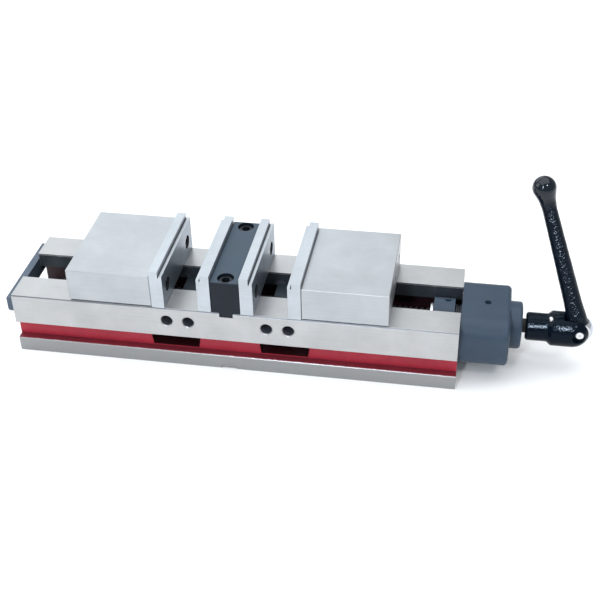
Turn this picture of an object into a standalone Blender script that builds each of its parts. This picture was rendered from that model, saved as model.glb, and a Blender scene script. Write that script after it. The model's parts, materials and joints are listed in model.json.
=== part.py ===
"""Double-station machine vise with a fixed centre jaw and two opposed sliding jaws.

Units are metres, +Z is up and +X points to the crank.  The origin is the middle of the
underside of the bed, below the centre jaw.  Each sub-part is one object.
"""
import math

import bmesh
import bpy
from mathutils import Matrix, Vector

# Clearances
GAP = 0.0003
BORE_GAP = 0.0003

# Bed
BED_LEFT = -0.2008
BED_RIGHT = 0.2048
BED_HALF_WIDTH = 0.0508
BED_HEIGHT = 0.0618
RAIL_UNDERSIDE = 0.0318
FLANGE_TOP = 0.0145
WEB_HALF_WIDTH = 0.044
EDGE_CHAMFER = 0.001
LIP_HALF_WIDTH = 0.0197
LIP_UNDERSIDE = 0.0475
CAVITY_HALF_WIDTH = 0.0305
WINDOW_TOP = (0.0267, 0.0738)
WINDOW_BOTTOM = (0.029, 0.0718)
WINDOW_HEIGHTS = (0.016, 0.0312)
SIDE_HOLE_X = (0.0357, 0.0555)
SIDE_HOLE_Z = 0.0481
SIDE_HOLE_RADIUS = 0.0052
SIDE_HOLE_CHAMFER = 0.0062
SIDE_HOLE_DEPTH = 0.016
TOP_SLOT_HALF = 0.0061
TOP_SLOT_FLOOR = 0.0576
KEYWAY_HALF = 0.0074
KEYWAY_DEPTH = 0.0026
KEYWAY_REACH = 0.014

# Left end plate
END_PLATE_THICK = 0.0068
END_PLATE_HALF = 0.0468
END_PLATE_LOW = 0.0383
END_PLATE_TOP = 0.0556
END_PLATE_CORNER = 0.006
END_SCREW_Y = 0.039
END_SCREW_Z = 0.0478
END_SCREW_RADIUS = 0.0024
END_SCREW_HEAD = 0.0042
END_SCREW_HEAD_DEPTH = 0.003

# Centre jaw
CENTRE_HALF = 0.013
CENTRE_TOP = 0.0947
CENTRE_BOTTOM = 0.0621
CENTRE_KEY_HALF = 0.0058
CENTRE_SCREW_Y = 0.0426
CENTRE_SCREW_RADIUS = 0.005
CENTRE_HEAD_RADIUS = 0.0071
CENTRE_BORE_RADIUS = 0.0075
CENTRE_BORE_DEPTH = 0.0115
CENTRE_HEAD_DROP = 0.0021
CENTRE_SCREW_BOTTOM = 0.041

# Jaw plates
PLATE_THICK = 0.01175
PLATE_LAND = 0.0081
PLATE_BOTTOM = 0.0622
PLATE_TOP = 0.1
PLATE_LEDGE = 0.0958
PLATE_GROOVE_WIDTH = 0.0009
PLATE_GROOVE_DEPTH = 0.0012
PLATE_SCREW_Y = 0.0349
PLATE_SCREW_Z = 0.078
PLATE_SCREW_RADIUS = 0.0036
PLATE_HEAD_RADIUS = 0.0058
PLATE_BORE_RADIUS = 0.0064
PLATE_BORE_DEPTH = 0.0074
PLATE_HEAD_DROP = 0.0012
PLATE_SCREW_LENGTH = 0.0195
CENTRE_PLATE_BACK = 0.0133
MOVING_PLATE_BACK = 0.0676

# Movable jaws (distances from the middle, mirrored for the two sides)
JAW_INNER = 0.0679
JAW_OUTER = 0.1443
JAW_BOTTOM = 0.0621
JAW_TOP = 0.0946
JAW_RELIEF_DEPTH = 0.002
JAW_RELIEF_TOP = 0.0639
KEEL_HALF = 0.0194
KEEL_INNER = (0.0695, 0.084, 0.0495)
KEEL_OUTER = (0.134, 0.1436, 0.059)
JAW_END_HOLE_DEPTH = 0.018
JAW_END_HOLE_RADIUS = 0.0042

# Nut, locking segment and adjusting screw
NUT_INNER = 0.088
NUT_OUTER = 0.128
NUT_HALF_WIDTH = 0.0302
NUT_LOW = 0.0165
NUT_HIGH = 0.0472
TOWER_HALF_WIDTH = 0.016
TOWER_FRONT = 0.097
TOWER_NOSE = 0.087
TOWER_BACK = 0.122
TOWER_TOP = 0.086
FACE_LOW = 0.067
FACE_HIGH = 0.077
POCKET_GAP = 0.00055
POCKET_BACK = 0.133
POCKET_FLOOR = 0.058
SEGMENT_RADIUS = 0.0065
ADJUST_RADIUS = 0.004
ADJUST_Z = 0.077
ADJUST_END = 0.141

# Screw
SCREW_Z = 0.0394
THREAD_RADIUS = 0.009
THREAD_LEFT = -0.174
MIDDLE_RADIUS = 0.0078
MIDDLE_END = 0.0565
THREAD_RIGHT = 0.1762
JOURNAL_RADIUS = 0.0085
JOURNAL_RIGHT = 0.2475
NECK_RADIUS = 0.0064
HEX_START = 0.2619
HEX_END = 0.2815
HEX_CORNER = 0.00635
GROOVE = (0.2245, 0.231)
GROOVE_RADIUS = 0.0068

# Steady blocks that carry the screw's plain middle
STEADY_INNER = 0.0332
STEADY_OUTER = 0.0534
STEADY_FOOT_HALF = 0.012
STEADY_LOW = 0.0148
STEADY_FOOT_TOP = 0.0308
STEADY_SHOULDER = 0.0296
STEADY_HALF = 0.0302
STEADY_BODY_TOP = 0.0472
STEADY_NECK_HALF = 0.0194
STEADY_TOP = 0.0491
STEADY_SCREW_X = 0.0433
STEADY_SCREW_RADIUS = 0.003
STEADY_SCREW_TIP = 0.0255
STEADY_HEAD_RADIUS = 0.005
STEADY_HEAD_LOW = 0.0008
STEADY_HEAD_LENGTH = 0.006

# Thrust collar and bearing
WASHER = (0.177, 0.1795)
WASHER_RADIUS = 0.0134
COLLAR = (0.1799, 0.199)
COLLAR_RADIUS = 0.0192
COLLAR_HOLE_X = 0.1925
COLLAR_HOLE_RADIUS = 0.0027
COLLAR_HOLE_TILT = 10.0
RACE_RADIUS = 0.0143
RACE_INNER = (0.1993, 0.2011)
CAGE = (0.2014, 0.203)
RACE_OUTER = (0.2033, 0.2067)

# Bearing housing
HOUSING_LEFT = 0.2051
HOUSING_RIGHT = 0.2482
HOUSING_HALF = 0.04
HOUSING_LOW = 0.015
HOUSING_TOP = 0.0616
HOUSING_CORNER = 0.016
HOUSING_FILLET = 0.002
BOSS_RADIUS = 0.0213
BOSS_END = 0.2587
BOSS_FILLET = 0.0025
HOUSING_BORE = 0.0143
BUSH_RADIUS = 0.014
BUSH = (0.2071, 0.246)
HOUSING_BORE_END = 0.248
RETAINER_X = 0.2277
RETAINER_RADIUS = 0.0027
HOUSING_SCREWS = ((0.03, 0.052), (-0.03, 0.052), (0.0338, 0.03), (-0.0338, 0.03))
HOUSING_SCREW_RADIUS = 0.0022
HOUSING_HEAD_RADIUS = 0.0037
HOUSING_HEAD_DEPTH = 0.0046
HOUSING_SCREW_END = 0.19

# Crank
SOCKET_LEFT = 0.2622
SOCKET_RADIUS = 0.0127
SOCKET_CONE = (0.2815, 0.2847)
CLEVIS_RADIUS = 0.0158
CLEVIS_BALL_X = 0.305
SOCKET_BORE_END = 0.283
SLOT_HALF = 0.0072
SLOT_LEFT = 0.295
PIVOT_X = 0.3093
PIVOT_Z = 0.041
PIN_RADIUS = 0.0038
PIN_HALF = 0.0112
SPOTFACE_RADIUS = 0.0063
SPOTFACE_HALF = 0.0114
EYE_RADIUS = 0.012
EYE_HALF = 0.0069
EYE_FLAT_TOP = 0.018
ARM_LENGTH = 0.1474
ARM_LEAN = -17.85
KNOB_RADIUS = 0.00995
DETENT_RADIUS = 0.0024
DETENT_X = 0.2838
DETENT_OUT = 0.014
DETENT_ANGLE = 112.0

ROUND_SIDES = 24
SCREW_SIDES = 16
SHANK_SIDES = 12

# Finish: name -> colour, roughness, metallic
FINISHES = {
    "ground_iron": ((0.62, 0.63, 0.64), 0.34, 0.85),
    "ground_steel": ((0.70, 0.71, 0.73), 0.26, 0.95),
    "hardened_steel": ((0.72, 0.75, 0.78), 0.22, 0.95),
    "black_oxide": ((0.045, 0.06, 0.075), 0.42, 0.6),
    "slate_enamel": ((0.075, 0.105, 0.14), 0.45, 0.2),
    "black_enamel": ((0.012, 0.014, 0.018), 0.25, 0.1),
    "bright_steel": ((0.78, 0.79, 0.80), 0.2, 1.0),
    "bronze": ((0.55, 0.36, 0.16), 0.35, 0.9),
}


def clear_scene():
    for item in list(bpy.data.objects):
        bpy.data.objects.remove(item, do_unlink=True)


def new_collection(name, parent):
    collection = bpy.data.collections.new(name)
    parent.children.link(collection)
    return collection


clear_scene()
PARTS = new_collection("machine_vise", bpy.context.scene.collection)
CUTTERS = new_collection("cutters", bpy.context.scene.collection)


# ---------------------------------------------------------------- shape helpers
def place(name, mesh, collection):
    item = bpy.data.objects.new(name, mesh)
    collection.objects.link(item)
    if collection == CUTTERS:
        item.hide_render = True
        item.display_type = "WIRE"
    return item


def mesh_from(name, bm, matrix):
    bmesh.ops.transform(bm, matrix=matrix, verts=bm.verts)
    mesh = bpy.data.meshes.new(name)
    bm.to_mesh(mesh)
    bm.free()
    return mesh


def block(name, low, high, collection=PARTS):
    low, high = Vector(low), Vector(high)
    bm = bmesh.new()
    bmesh.ops.create_cube(bm, size=1.0)
    scale = Matrix.Diagonal((*(high - low), 1.0))
    mesh = mesh_from(name, bm, Matrix.Translation((low + high) / 2) @ scale)
    return place(name, mesh, collection)


def rod(name, start, end, radius, collection=PARTS, end_radius=None, sides=ROUND_SIDES):
    start, end = Vector(start), Vector(end)
    along = end - start
    bm = bmesh.new()
    bmesh.ops.create_cone(bm, cap_ends=True, segments=sides, radius1=radius,
                          radius2=radius if end_radius is None else end_radius,
                          depth=along.length)
    turn = along.to_track_quat("Z", "Y").to_matrix().to_4x4()
    mesh = mesh_from(name, bm, Matrix.Translation((start + end) / 2) @ turn)
    return place(name, mesh, collection)


def ball(name, centre, radius, collection=PARTS, sides=16, rings=10):
    bm = bmesh.new()
    bmesh.ops.create_uvsphere(bm, u_segments=sides, v_segments=rings, radius=radius)
    return place(name, mesh_from(name, bm, Matrix.Translation(centre)), collection)


# Local axes of a flat outline: across, up and through the thickness
OUTLINE_AXES = {
    "X": Matrix(((0, 0, 1, 0), (1, 0, 0, 0), (0, 1, 0, 0), (0, 0, 0, 1))),
    "Y": Matrix(((1, 0, 0, 0), (0, 0, -1, 0), (0, 1, 0, 0), (0, 0, 0, 1))),
}


def outline_solid(name, points, low, high, axis, collection=PARTS):
    """Extrude a flat outline along X (outline in Y, Z) or along Y (outline in X, Z)."""
    curve = bpy.data.curves.new(name, "CURVE")
    curve.dimensions = "2D"
    curve.fill_mode = "BOTH"
    curve.extrude = (high - low) / 2
    spline = curve.splines.new("POLY")
    spline.points.add(len(points) - 1)
    for point, (across, up) in zip(spline.points, points):
        point.co = (across, up, 0.0, 1.0)
    spline.use_cyclic_u = True
    shape = place(name + "_curve", curve, collection)
    middle = (low + high) / 2
    offset = (middle, 0, 0) if axis == "X" else (0, middle, 0)
    bpy.context.view_layer.update()
    evaluated = shape.evaluated_get(bpy.context.evaluated_depsgraph_get())
    mesh = bpy.data.meshes.new_from_object(evaluated)
    bpy.data.objects.remove(shape, do_unlink=True)
    bm = bmesh.new()
    bm.from_mesh(mesh)
    bmesh.ops.remove_doubles(bm, verts=bm.verts, dist=0.00001)
    bmesh.ops.recalc_face_normals(bm, faces=bm.faces)
    bpy.data.meshes.remove(mesh)
    solid = mesh_from(name, bm, Matrix.Translation(offset) @ OUTLINE_AXES[axis])
    return place(name, solid, collection)


def turned(name, profile, origin, direction="X", collection=PARTS, sides=ROUND_SIDES, ring=False):
    """Turn a profile of (radius, distance along the axis), listed from the far end back."""
    bm = bmesh.new()
    points = [bm.verts.new((radius, 0.0, along)) for radius, along in profile]
    for first, second in zip(points[:-1], points[1:]):
        bm.edges.new((first, second))
    if ring:
        bm.edges.new((points[-1], points[0]))
    mesh = mesh_from(name, bm, Matrix.Identity(4))
    item = place(name, mesh, collection)
    item.location = origin
    item.rotation_euler = (0.0, math.pi / 2, 0.0) if direction == "X" else (0.0, 0.0, 0.0)
    screw = item.modifiers.new("turn", "SCREW")
    screw.steps = sides
    screw.render_steps = sides
    screw.use_merge_vertices = True
    screw.merge_threshold = 0.00001
    screw.use_smooth_shade = True
    return item


def ring_profile(inner, outer, start, end):
    return [(outer, end), (outer, start), (inner, start), (inner, end)]


def combine(item, tool, operation):
    modifier = item.modifiers.new(operation.lower(), "BOOLEAN")
    modifier.operation = operation
    modifier.solver = "EXACT"
    modifier.object = tool
    return item


def cut(item, *tools):
    for tool in tools:
        combine(item, tool, "DIFFERENCE")
    return item


def bevel(item, width, segments=1, angle=40.0):
    modifier = item.modifiers.new("bevel", "BEVEL")
    modifier.width = width
    modifier.segments = segments
    modifier.limit_method = "ANGLE"
    modifier.angle_limit = math.radians(angle)
    return item


def arc(centre, radius, start, end, steps):
    """Points on an arc, angles in degrees from the across axis."""
    points = []
    for index in range(steps + 1):
        angle = math.radians(start + (end - start) * index / steps)
        points.append((centre[0] + radius * math.cos(angle), centre[1] + radius * math.sin(angle)))
    return points


def rounded_rectangle(half, low, high, corner, steps=6):
    points = arc((half - corner, low + corner), corner, -90, 0, steps)
    points += arc((half - corner, high - corner), corner, 0, 90, steps)
    points += arc((corner - half, high - corner), corner, 90, 180, steps)
    points += arc((corner - half, low + corner), corner, 180, 270, steps)
    return points


def cap_screw(name, head_end, tip, head_radius, head_length, radius, socket_radius):
    """Socket-head cap screw from its head end to its tip, with a hexagon socket."""
    start, end = Vector(head_end), Vector(tip)
    along = (end - start).normalized()
    screw = rod(name, start, start + along * head_length, head_radius, sides=SCREW_SIDES)
    inside = start + along * (head_length * 0.5)
    combine(screw, rod(name + "_shank", inside, end, radius, CUTTERS, sides=SHANK_SIDES), "UNION")
    socket_end = start + along * (head_length * 0.6)
    cut(screw, rod(name + "_socket", start - along * 0.001, socket_end, socket_radius,
                   CUTTERS, sides=6))
    return screw


def set_screw(name, head_end, tip, radius, socket_radius):
    start, end = Vector(head_end), Vector(tip)
    along = (end - start).normalized()
    screw = rod(name, start, end, radius, sides=SHANK_SIDES)
    cut(screw, rod(name + "_socket", start - along * 0.001, start + along * radius,
                   socket_radius, CUTTERS, sides=6))
    return screw


# ---------------------------------------------------------------- bed
def bed_section():
    half = [
        (BED_HALF_WIDTH, 0.0),
        (BED_HALF_WIDTH, FLANGE_TOP - EDGE_CHAMFER),
        (BED_HALF_WIDTH - EDGE_CHAMFER, FLANGE_TOP),
        (WEB_HALF_WIDTH, FLANGE_TOP),
        (WEB_HALF_WIDTH, RAIL_UNDERSIDE),
        (BED_HALF_WIDTH, RAIL_UNDERSIDE),
        (BED_HALF_WIDTH, BED_HEIGHT - EDGE_CHAMFER),
        (BED_HALF_WIDTH - EDGE_CHAMFER, BED_HEIGHT),
        (LIP_HALF_WIDTH, BED_HEIGHT),
        (LIP_HALF_WIDTH, LIP_UNDERSIDE),
        (CAVITY_HALF_WIDTH, LIP_UNDERSIDE),
        (CAVITY_HALF_WIDTH, FLANGE_TOP),
    ]
    return half + [(-across, up) for across, up in reversed(half)]


def window_cutter(side):
    low, high = WINDOW_HEIGHTS
    outline = [
        (side * WINDOW_BOTTOM[0], low),
        (side * WINDOW_BOTTOM[1], low),
        (side * WINDOW_TOP[1], high),
        (side * WINDOW_TOP[0], high),
    ]
    outside = -BED_HALF_WIDTH - 0.005
    inside = -CAVITY_HALF_WIDTH + 0.005
    return outline_solid(f"cut_window_{side}", outline, outside, inside, "Y", CUTTERS)


def side_hole_cutters(side):
    tools = []
    face = side * BED_HALF_WIDTH
    for x in SIDE_HOLE_X + tuple(-x for x in SIDE_HOLE_X):
        name = f"cut_side_{side}_{round(x * 10000)}"
        outside = face + side * 0.002
        inside = face - side * SIDE_HOLE_DEPTH
        tools.append(rod(name, (x, outside, SIDE_HOLE_Z), (x, inside, SIDE_HOLE_Z),
                         SIDE_HOLE_RADIUS, CUTTERS, sides=16))
        depth = SIDE_HOLE_CHAMFER - SIDE_HOLE_RADIUS
        tools.append(rod(name + "_chamfer", (x, face + side * depth, SIDE_HOLE_Z),
                         (x, face - side * depth, SIDE_HOLE_Z),
                         SIDE_HOLE_CHAMFER + depth, CUTTERS, SIDE_HOLE_RADIUS, 16))
    return tools


def bed_slot_cutters():
    tools = [block("cut_top_slot", (-TOP_SLOT_HALF, -0.06, TOP_SLOT_FLOOR),
                   (TOP_SLOT_HALF, 0.06, BED_HEIGHT + 0.01), CUTTERS)]
    for side in (-1, 1):
        near = side * (BED_HALF_WIDTH - KEYWAY_REACH)
        far = side * (BED_HALF_WIDTH + 0.005)
        tools.append(block(f"cut_keyway_{side}", (-KEYWAY_HALF, min(near, far), -0.005),
                           (KEYWAY_HALF, max(near, far), KEYWAY_DEPTH), CUTTERS))
    return tools


def bed_screw_cutters():
    tools = []
    for side in (-1, 1):
        y = side * CENTRE_SCREW_Y
        tools.append(rod(f"cut_centre_thread_{side}", (0, y, CENTRE_SCREW_BOTTOM - 0.002),
                         (0, y, BED_HEIGHT + 0.005), CENTRE_SCREW_RADIUS + BORE_GAP,
                         CUTTERS, sides=16))
        y = side * END_SCREW_Y
        tools.append(rod(f"cut_end_thread_{side}", (BED_LEFT - 0.005, y, END_SCREW_Z),
                         (BED_LEFT + 0.013, y, END_SCREW_Z), END_SCREW_RADIUS + BORE_GAP,
                         CUTTERS, sides=16))
        x = side * STEADY_SCREW_X
        tools.append(rod(f"cut_steady_hole_{side}", (x, 0, -0.005), (x, 0, FLANGE_TOP + 0.005),
                         STEADY_SCREW_RADIUS + BORE_GAP, CUTTERS, sides=16))
        shoulder = STEADY_HEAD_LOW + STEADY_HEAD_LENGTH + GAP
        tools.append(rod(f"cut_steady_head_{side}", (x, 0, -0.005), (x, 0, shoulder),
                         STEADY_HEAD_RADIUS + BORE_GAP, CUTTERS, sides=24))
    for index, (y, z) in enumerate(HOUSING_SCREWS):
        tools.append(rod(f"cut_bed_bolt_{index}", (HOUSING_SCREW_END - 0.002, y, z),
                         (BED_RIGHT + 0.005, y, z), HOUSING_SCREW_RADIUS + BORE_GAP,
                         CUTTERS, sides=16))
    return tools


def build_bed():
    bed = outline_solid("bed", bed_section(), BED_LEFT, BED_RIGHT, "X")
    cut(bed, window_cutter(-1), window_cutter(1))
    cut(bed, *side_hole_cutters(-1))
    cut(bed, *side_hole_cutters(1))
    cut(bed, *bed_slot_cutters())
    cut(bed, *bed_screw_cutters())
    return bed


def build_end_plate():
    outer = BED_LEFT - GAP - END_PLATE_THICK
    inner = BED_LEFT - GAP
    corner = END_PLATE_CORNER
    outline = arc((END_PLATE_HALF - corner, END_PLATE_LOW + corner), corner, -90, 0, 6)
    outline += [(END_PLATE_HALF, END_PLATE_TOP), (-END_PLATE_HALF, END_PLATE_TOP)]
    outline += arc((corner - END_PLATE_HALF, END_PLATE_LOW + corner), corner, 180, 270, 6)
    plate = outline_solid("end_plate", outline, outer, inner, "X")
    screws = []
    for side in (-1, 1):
        y = side * END_SCREW_Y
        floor = outer + END_SCREW_HEAD_DEPTH + 0.0004
        cut(plate, rod(f"cut_plate_bore_{side}", (outer - 0.002, y, END_SCREW_Z),
                       (floor, y, END_SCREW_Z), END_SCREW_HEAD + 0.0004, CUTTERS, sides=16))
        cut(plate, rod(f"cut_plate_hole_{side}", (outer - 0.002, y, END_SCREW_Z),
                       (inner + 0.002, y, END_SCREW_Z), END_SCREW_RADIUS + BORE_GAP,
                       CUTTERS, sides=16))
        name = "end_plate_screw_back" if side > 0 else "end_plate_screw_front"
        screws.append(cap_screw(name, (floor - GAP - END_SCREW_HEAD_DEPTH, y, END_SCREW_Z),
                                (BED_LEFT + 0.012, y, END_SCREW_Z), END_SCREW_HEAD,
                                END_SCREW_HEAD_DEPTH, END_SCREW_RADIUS, 0.0017))
    return [plate] + screws


# ---------------------------------------------------------------- centre jaw
def build_centre_jaw():
    jaw = block("centre_jaw", (-CENTRE_HALF, -BED_HALF_WIDTH, CENTRE_BOTTOM),
                (CENTRE_HALF, BED_HALF_WIDTH, CENTRE_TOP))
    bevel(jaw, 0.0006)
    key = block("add_centre_key", (-CENTRE_KEY_HALF, -BED_HALF_WIDTH, TOP_SLOT_FLOOR + GAP),
                (CENTRE_KEY_HALF, BED_HALF_WIDTH, CENTRE_BOTTOM + 0.004), CUTTERS)
    combine(jaw, key, "UNION")
    for side in (-1, 1):
        y = side * CENTRE_SCREW_Y
        cut(jaw, rod(f"cut_centre_bore_{side}", (0, y, CENTRE_TOP - CENTRE_BORE_DEPTH),
                     (0, y, CENTRE_TOP + 0.002), CENTRE_BORE_RADIUS, CUTTERS),
            rod(f"cut_centre_hole_{side}", (0, y, 0.05), (0, y, CENTRE_TOP),
                CENTRE_SCREW_RADIUS + BORE_GAP, CUTTERS, sides=16))
        for hand in (-1, 1):
            start = hand * (CENTRE_PLATE_BACK + 0.002)
            cut(jaw, rod(f"cut_centre_tap_{side}_{hand}",
                         (start, side * PLATE_SCREW_Y, PLATE_SCREW_Z),
                         (hand * 0.0049, side * PLATE_SCREW_Y, PLATE_SCREW_Z),
                         PLATE_SCREW_RADIUS + BORE_GAP, CUTTERS, sides=16))
    return jaw


def build_centre_screws():
    screws = []
    for side, place_name in ((-1, "front"), (1, "back")):
        y = side * CENTRE_SCREW_Y
        top = CENTRE_TOP - CENTRE_HEAD_DROP
        length = CENTRE_BORE_DEPTH - CENTRE_HEAD_DROP - GAP
        screws.append(cap_screw(f"centre_screw_{place_name}", (0, y, top),
                                (0, y, CENTRE_SCREW_BOTTOM), CENTRE_HEAD_RADIUS, length,
                                CENTRE_SCREW_RADIUS, 0.0046))
    return screws


# ---------------------------------------------------------------- jaw plates
def plate_outline(back, direction):
    """Stepped plate section: back face, top land, groove, ledge and gripping face."""
    land = back + direction * PLATE_LAND
    groove = land + direction * PLATE_GROOVE_WIDTH
    face = back + direction * PLATE_THICK
    return [
        (back, PLATE_BOTTOM),
        (face, PLATE_BOTTOM),
        (face, PLATE_LEDGE),
        (groove, PLATE_LEDGE),
        (groove, PLATE_LEDGE - PLATE_GROOVE_DEPTH),
        (land, PLATE_LEDGE - PLATE_GROOVE_DEPTH),
        (land, PLATE_TOP),
        (back, PLATE_TOP),
    ]


def build_plate(name, back, direction, short=False):
    plate = outline_solid(name, plate_outline(back, direction), -BED_HALF_WIDTH,
                          BED_HALF_WIDTH, "Y")
    face = back + direction * PLATE_THICK
    floor = face - direction * PLATE_BORE_DEPTH
    pieces = [plate]
    for side, place_name in ((-1, "front"), (1, "back")):
        y = side * PLATE_SCREW_Y
        z = PLATE_SCREW_Z
        cut(plate, rod(f"cut_{name}_bore_{side}", (face + direction * 0.002, y, z),
                       (floor, y, z), PLATE_BORE_RADIUS, CUTTERS, sides=16))
        cut(plate, rod(f"cut_{name}_hole_{side}", (face, y, z),
                       (back - direction * 0.002, y, z), PLATE_SCREW_RADIUS + BORE_GAP,
                       CUTTERS, sides=16))
        head = face - direction * PLATE_HEAD_DROP
        length = PLATE_BORE_DEPTH - PLATE_HEAD_DROP - GAP
        tip = 0.0052 * direction if short else face - direction * (PLATE_HEAD_DROP + 0.0255)
        pieces.append(cap_screw(f"{name}_screw_{place_name}", (head, y, z), (tip, y, z),
                                PLATE_HEAD_RADIUS, length, PLATE_SCREW_RADIUS, 0.0034))
    return pieces


# ---------------------------------------------------------------- movable jaws
def pocket_outline(side):
    gap = POCKET_GAP
    return [
        (side * (TOWER_FRONT - gap), POCKET_FLOOR - 0.012),
        (side * POCKET_BACK, POCKET_FLOOR - 0.012),
        (side * POCKET_BACK, TOWER_TOP + 0.001),
        (side * (TOWER_NOSE - gap), TOWER_TOP + 0.001),
        (side * (TOWER_NOSE - gap), FACE_HIGH - gap / 2),
        (side * (TOWER_FRONT - gap), FACE_LOW - gap / 2),
    ]


def segment_centre(side):
    back_off = 0.00025
    middle = (TOWER_FRONT + TOWER_NOSE) / 2 - back_off
    return (side * middle, 0.0, (FACE_LOW + FACE_HIGH) / 2 - back_off)


def span(side, first, second):
    return sorted((side * first, side * second))


def jaw_hole_cutters(name, side):
    tools = []
    for front in (-1, 1):
        y = front * PLATE_SCREW_Y
        z = PLATE_SCREW_Z
        tools.append(rod(f"cut_{name}_tap_{front}", (side * (JAW_INNER - 0.003), y, z),
                         (side * 0.0835, y, z), PLATE_SCREW_RADIUS + BORE_GAP, CUTTERS, sides=16))
        tools.append(rod(f"cut_{name}_end_{front}", (side * (JAW_OUTER + 0.003), y, z),
                         (side * (JAW_OUTER - JAW_END_HOLE_DEPTH), y, z),
                         JAW_END_HOLE_RADIUS, CUTTERS, sides=16))
    tools.append(rod(f"cut_{name}_adjust", (side * (JAW_OUTER + 0.003), 0, ADJUST_Z),
                     (side * (POCKET_BACK - 0.003), 0, ADJUST_Z), ADJUST_RADIUS + BORE_GAP,
                     CUTTERS, sides=16))
    return tools


def build_jaw(name, side):
    low, high = span(side, JAW_INNER, JAW_OUTER)
    jaw = block(name, (low, -BED_HALF_WIDTH, JAW_BOTTOM), (high, BED_HALF_WIDTH, JAW_TOP))
    bevel(jaw, 0.0005)
    for inner, outer, bottom in (KEEL_INNER, KEEL_OUTER):
        low, high = span(side, inner, outer)
        keel = block(f"add_{name}_keel_{round(inner * 10000)}", (low, -KEEL_HALF, bottom),
                     (high, KEEL_HALF, JAW_BOTTOM + 0.003), CUTTERS)
        combine(jaw, keel, "UNION")
    low, high = span(side, JAW_INNER - 0.01, JAW_OUTER + 0.01)
    for front in (-1, 1):
        near, far = sorted((front * (BED_HALF_WIDTH - JAW_RELIEF_DEPTH),
                            front * (BED_HALF_WIDTH + 0.01)))
        cut(jaw, block(f"cut_{name}_relief_{front}", (low, near, JAW_BOTTOM - 0.01),
                       (high, far, JAW_RELIEF_TOP), CUTTERS))
    half = TOWER_HALF_WIDTH + 0.0005
    cut(jaw, outline_solid(f"cut_{name}_pocket", pocket_outline(side), -half, half, "Y", CUTTERS))
    cut(jaw, ball(f"cut_{name}_seat", segment_centre(side), SEGMENT_RADIUS + GAP, CUTTERS))
    cut(jaw, *jaw_hole_cutters(name, side))
    return jaw


def build_nut(name, side):
    low, high = span(side, NUT_INNER, NUT_OUTER)
    nut = block(name, (low, -NUT_HALF_WIDTH, NUT_LOW), (high, NUT_HALF_WIDTH, NUT_HIGH))
    bevel(nut, 0.001)
    outline = [
        (side * TOWER_FRONT, NUT_HIGH - 0.004),
        (side * TOWER_BACK, NUT_HIGH - 0.004),
        (side * TOWER_BACK, TOWER_TOP),
        (side * TOWER_NOSE, TOWER_TOP),
        (side * TOWER_NOSE, FACE_HIGH),
        (side * TOWER_FRONT, FACE_LOW),
    ]
    tower = outline_solid(f"add_{name}_tower", outline, -TOWER_HALF_WIDTH, TOWER_HALF_WIDTH,
                          "Y", CUTTERS)
    combine(nut, tower, "UNION")
    cut(nut, rod(f"cut_{name}_thread", (low - 0.01, 0, SCREW_Z), (high + 0.01, 0, SCREW_Z),
                 THREAD_RADIUS + BORE_GAP, CUTTERS))
    return nut


def build_segment(name, side):
    centre = segment_centre(side)
    segment = ball(name, centre, SEGMENT_RADIUS)
    toward_face = Vector((side, 0.0, 1.0)).normalized()
    cut(segment, rod(f"cut_{name}_flat", centre, Vector(centre) + toward_face * 0.02, 0.01,
                     CUTTERS, sides=4))
    return segment


def build_adjuster(name, side):
    return set_screw(name, (side * ADJUST_END, 0, ADJUST_Z),
                     (side * (TOWER_BACK + GAP), 0, ADJUST_Z), ADJUST_RADIUS, 0.0023)


# ---------------------------------------------------------------- screw and bearing
def build_screw():
    profile = [
        (0.0, HEX_START),
        (NECK_RADIUS, HEX_START),
        (NECK_RADIUS, JOURNAL_RIGHT + 0.0006),
        (JOURNAL_RADIUS - 0.0006, JOURNAL_RIGHT),
        (JOURNAL_RADIUS, JOURNAL_RIGHT - 0.0006),
        (JOURNAL_RADIUS, GROOVE[1]),
        (GROOVE_RADIUS, GROOVE[1]),
        (GROOVE_RADIUS, GROOVE[0]),
        (JOURNAL_RADIUS, GROOVE[0]),
        (JOURNAL_RADIUS, THREAD_RIGHT),
        (THREAD_RADIUS, THREAD_RIGHT - 0.0006),
        (THREAD_RADIUS, MIDDLE_END + 0.0012),
        (MIDDLE_RADIUS, MIDDLE_END),
        (MIDDLE_RADIUS, -MIDDLE_END),
        (THREAD_RADIUS, -MIDDLE_END - 0.0012),
        (THREAD_RADIUS, THREAD_LEFT + 0.0015),
        (THREAD_RADIUS - 0.0015, THREAD_LEFT),
        (0.0, THREAD_LEFT),
    ]
    screw = turned("screw", profile, (0, 0, SCREW_Z))
    hexagon = rod("add_screw_hexagon", (HEX_START - 0.004, 0, SCREW_Z),
                  (HEX_END, 0, SCREW_Z), HEX_CORNER, CUTTERS, sides=6)
    return combine(screw, hexagon, "UNION")


def steady_section():
    half = [
        (STEADY_FOOT_HALF, STEADY_LOW),
        (STEADY_FOOT_HALF, STEADY_FOOT_TOP),
        (STEADY_HALF, STEADY_SHOULDER),
        (STEADY_HALF, STEADY_BODY_TOP),
        (STEADY_NECK_HALF, STEADY_BODY_TOP),
        (STEADY_NECK_HALF, STEADY_TOP),
    ]
    return half + [(-across, up) for across, up in reversed(half)]


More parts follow.
